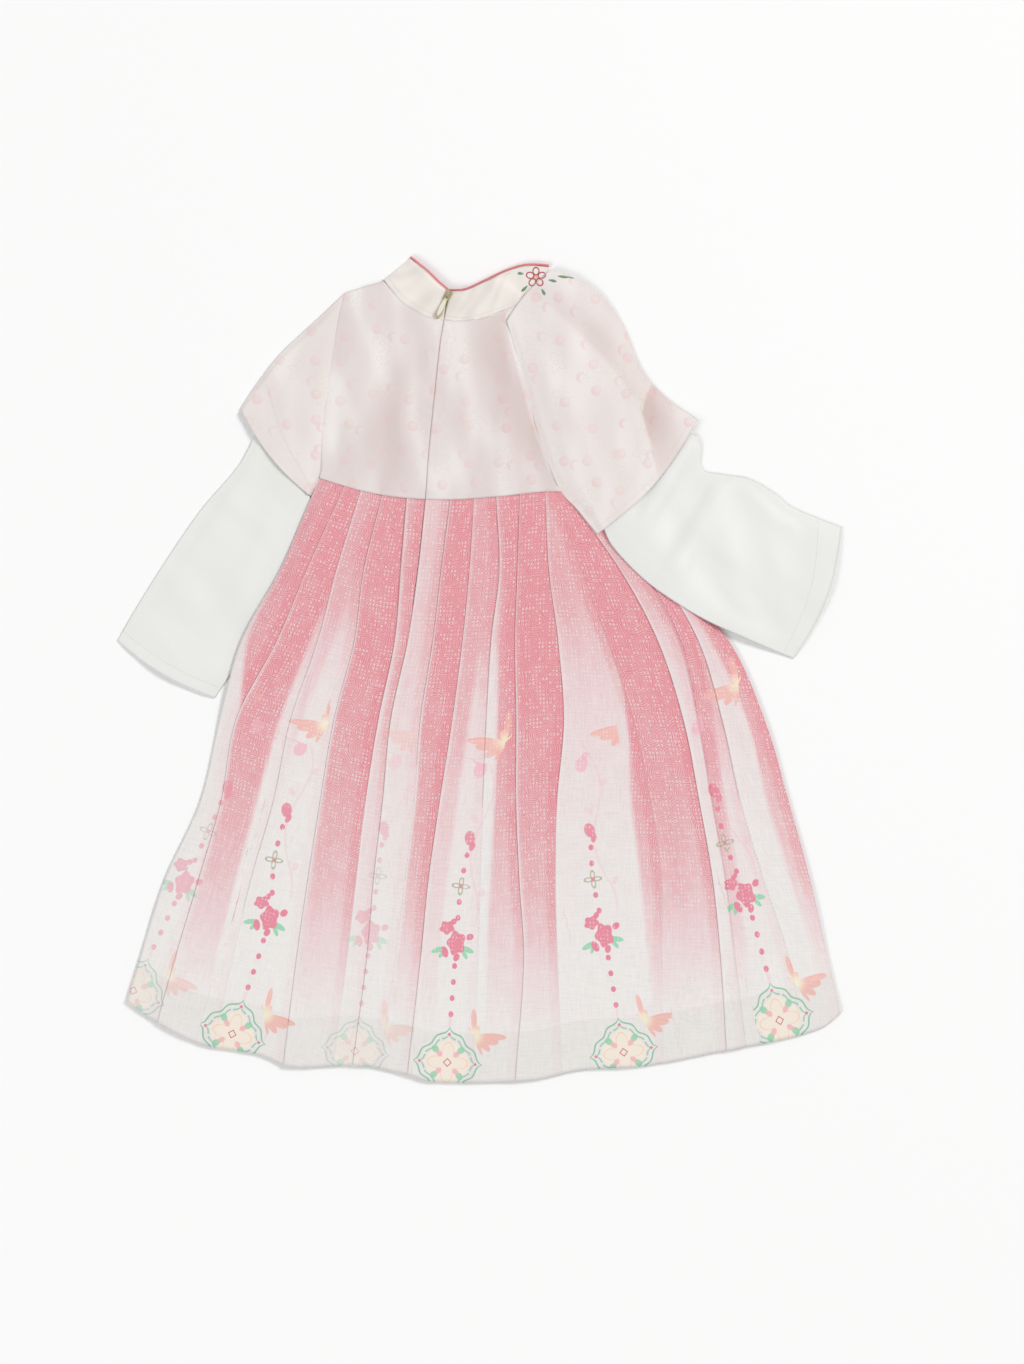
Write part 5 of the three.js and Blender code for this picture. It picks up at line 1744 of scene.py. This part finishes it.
class DRESS_OT_embroidery(bpy.types.Operator):
    """Flower and leaves worked in thread at the side of the collar"""
    bl_idname = "dress.embroidery"
    bl_label = "Embroidery"

    def execute(self, context):
        sizes, colours = context.scene.dress_sizes, context.scene.dress_colours
        height = surface_under([
            "collar_band", "over_sleeve_right_cloth", "bodice_back_right_cloth", "collar_piping",
        ])
        thick = sizes.thread
        petals, centre, leaves = bmesh.new(), bmesh.new(), bmesh.new()
        for k in range(5):
            lean = math.radians(90 + 72 * k)
            for i in range(PETAL_STITCHES):
                turn = 2 * math.pi * i / PETAL_STITCHES
                ends = [
                    aside(
                        FLOWER_AT, lean,
                        PETAL_REACH + long * math.cos(turn), wide * math.sin(turn),
                    )
                    for long, wide in PETAL_RIMS
                ]
                add_stitch(petals, *ends, thick, height)
        for i in range(CENTRE_STITCHES):
            turn = 2 * math.pi * i / CENTRE_STITCHES
            ends = [aside(FLOWER_AT, turn, reach, 0) for reach in (0.5, 1.7 + 0.4 * (i % 2))]
            add_stitch(centre, *ends, thick, height)
        for root, lean, long in LEAVES:
            lean = math.radians(lean)
            for i in range(LEAF_STITCHES):
                share = i / (LEAF_STITCHES - 1)
                half = LEAF_HALF * math.sin(math.pi * mix(0.08, 0.96, share))
                at = aside(root, lean, long * share, 0)
                for side in (-0.9, 0.9):
                    add_stitch(leaves, at, aside(at, lean + side, half, 0), thick * 0.8, height)
        for name, bm, thread, colour in (
            ("flower_petals", petals, "bloom thread", colours.bloom),
            ("flower_centre", centre, "centre thread", srgb(240, 210, 150)),
            ("flower_leaves", leaves, "leaf thread", colours.leaf),
        ):
            garment_piece(name, bm, thread_finish(thread, colour))
        return {"FINISHED"}


class DRESS_OT_stitching(bpy.types.Operator):
    """Seam and hem stitches on the collar, sleeves and over-sleeves"""
    bl_idname = "dress.stitching"
    bl_label = "Stitching"

    def execute(self, context):
        sizes, colours = context.scene.dress_sizes, context.scene.dress_colours
        thread = thread_finish("white thread", colours.bodice_white)
        seam = collar_line(0.09)
        last = len(seam) - 1
        collar = bmesh.new()
        height = surface_under(["collar_band"])
        for low, high in ((0, 4), (last - 5, last)):
            span = [point[:2] for point in along_path(seam, 60, low + 0.05, high - 0.05)]
            stitch_run(collar, span, 2.2, 1.5, sizes.thread * 0.8, height)
        garment_piece("collar_stitches", collar, thread)
        for node, table, inset, slot in (
            ("sleeve_left", SLEEVE_LEFT, 11, "sleeve"),
            ("sleeve_right", SLEEVE_RIGHT, 11, "sleeve"),
            ("over_sleeve_left", OVER_SLEEVE_LEFT, 5, "bodice"),
            ("over_sleeve_right", OVER_SLEEVE_RIGHT, 5, "bodice"),
        ):
            bm = bmesh.new()
            length = math.dist(table[-1][0], table[-2][0])
            under, outer, facing = sleeve_sides(table, 1 - inset / length / (len(table) - 1))
            bow = table[-1][2] * facing
            points = [bowed(under, outer, bow, mix(0.02, 0.98, k / 40)) for k in range(41)]
            stitch_run(bm, points, 2.6, 1.7, sizes.thread * 0.7, surface_under([node + "_cloth"]))
            garment_piece(node + "_stitches", bm, thread)
        return {"FINISHED"}


# ---- stage --------------------------------------------------------------------------------
VIEW_CENTRE = (73.9, -163.7)     # point of the drawing the camera looks straight down at
VIEW_HEIGHT = 1.2                # metres of the plane that the picture's height covers
CAMERA_UP = 3.2                  # and how far over it the camera is


def add_light(name, at, aim, size, power, colour=(1, 1, 1)):
    data = bpy.data.lights.new(name, "AREA")
    data.shape = "DISK"
    data.size = size
    data.energy = power
    data.color = colour
    light = bpy.data.objects.new(name, data)
    light.location = at
    light.rotation_euler = (Vector(aim) - Vector(at)).to_track_quat("-Z", "Y").to_euler()
    bpy.context.scene.collection.objects.link(light)


class DRESS_OT_stage(bpy.types.Operator):
    """Pale floor, soft studio light and the camera straight above"""
    bl_idname = "dress.stage"
    bl_label = "Stage"

    def execute(self, context):
        scene = context.scene
        bm = bmesh.new()
        bmesh.ops.create_grid(bm, x_segments=8, y_segments=8, size=4)
        floor = new_piece("floor", bm, floor_finish("floor paper", scene.dress_colours.floor))
        scene.view_settings.view_transform = "Standard"
        world = bpy.data.worlds.new("studio")
        scene.world = world
        world.use_nodes = True
        background = world.node_tree.nodes["Background"]
        background.inputs["Color"].default_value = (1, 1, 1, 1)
        background.inputs["Strength"].default_value = 0.5
        add_light("key", (6.0, 4.3, 6.4), (0, -0.05, 0), 3.4, 478, (1, 0.99, 0.975))
        add_light("fill", (-6.3, -4.5, 4.4), (0, -0.05, 0), 3.6, 284, (0.975, 0.985, 1))
        data = bpy.data.cameras.new("camera")
        data.sensor_width = 36
        data.lens = data.sensor_width * CAMERA_UP / VIEW_HEIGHT
        camera = bpy.data.objects.new("camera", data)
        camera.location = place(*VIEW_CENTRE, 0) + Vector((0, 0, CAMERA_UP))
        scene.collection.objects.link(camera)
        scene.camera = camera
        return {"FINISHED"}


class DRESS_PT_panel(bpy.types.Panel):
    """The dress's pieces, sizes and colours"""
    bl_label = "Dress"
    bl_idname = "DRESS_PT_panel"
    bl_space_type = "VIEW_3D"
    bl_region_type = "UI"
    bl_category = "Dress"

    def draw(self, context):
        for operator in OPERATORS:
            self.layout.operator(operator.bl_idname)
        for group in (context.scene.dress_sizes, context.scene.dress_colours):
            for name in group.__annotations__:
                self.layout.prop(group, name)


OPERATORS = (
    DRESS_OT_skirt_back,
    DRESS_OT_skirt_front,
    DRESS_OT_lining,
    DRESS_OT_bodice,
    DRESS_OT_sleeves,
    DRESS_OT_over_sleeves,
    DRESS_OT_collar,
    DRESS_OT_piping,
    DRESS_OT_zip,
    DRESS_OT_embroidery,
    DRESS_OT_stitching,
    DRESS_OT_stage,
)
CLASSES = (DressSizes, DressColours, *OPERATORS, DRESS_PT_panel)


def register():
    for cls in CLASSES:
        bpy.utils.register_class(cls)
    bpy.types.Scene.dress_sizes = bpy.props.PointerProperty(type=DressSizes)
    bpy.types.Scene.dress_colours = bpy.props.PointerProperty(type=DressColours)


def unregister():
    del bpy.types.Scene.dress_sizes
    del bpy.types.Scene.dress_colours
    for cls in reversed(CLASSES):
        bpy.utils.unregister_class(cls)


def main():
    register()
    for operator in OPERATORS:
        group, name = operator.bl_idname.split(".")
        if getattr(getattr(bpy.ops, group), name)() != {"FINISHED"}:
            raise RuntimeError(f"{operator.bl_label} was not made")


if __name__ == "__main__":
    main()
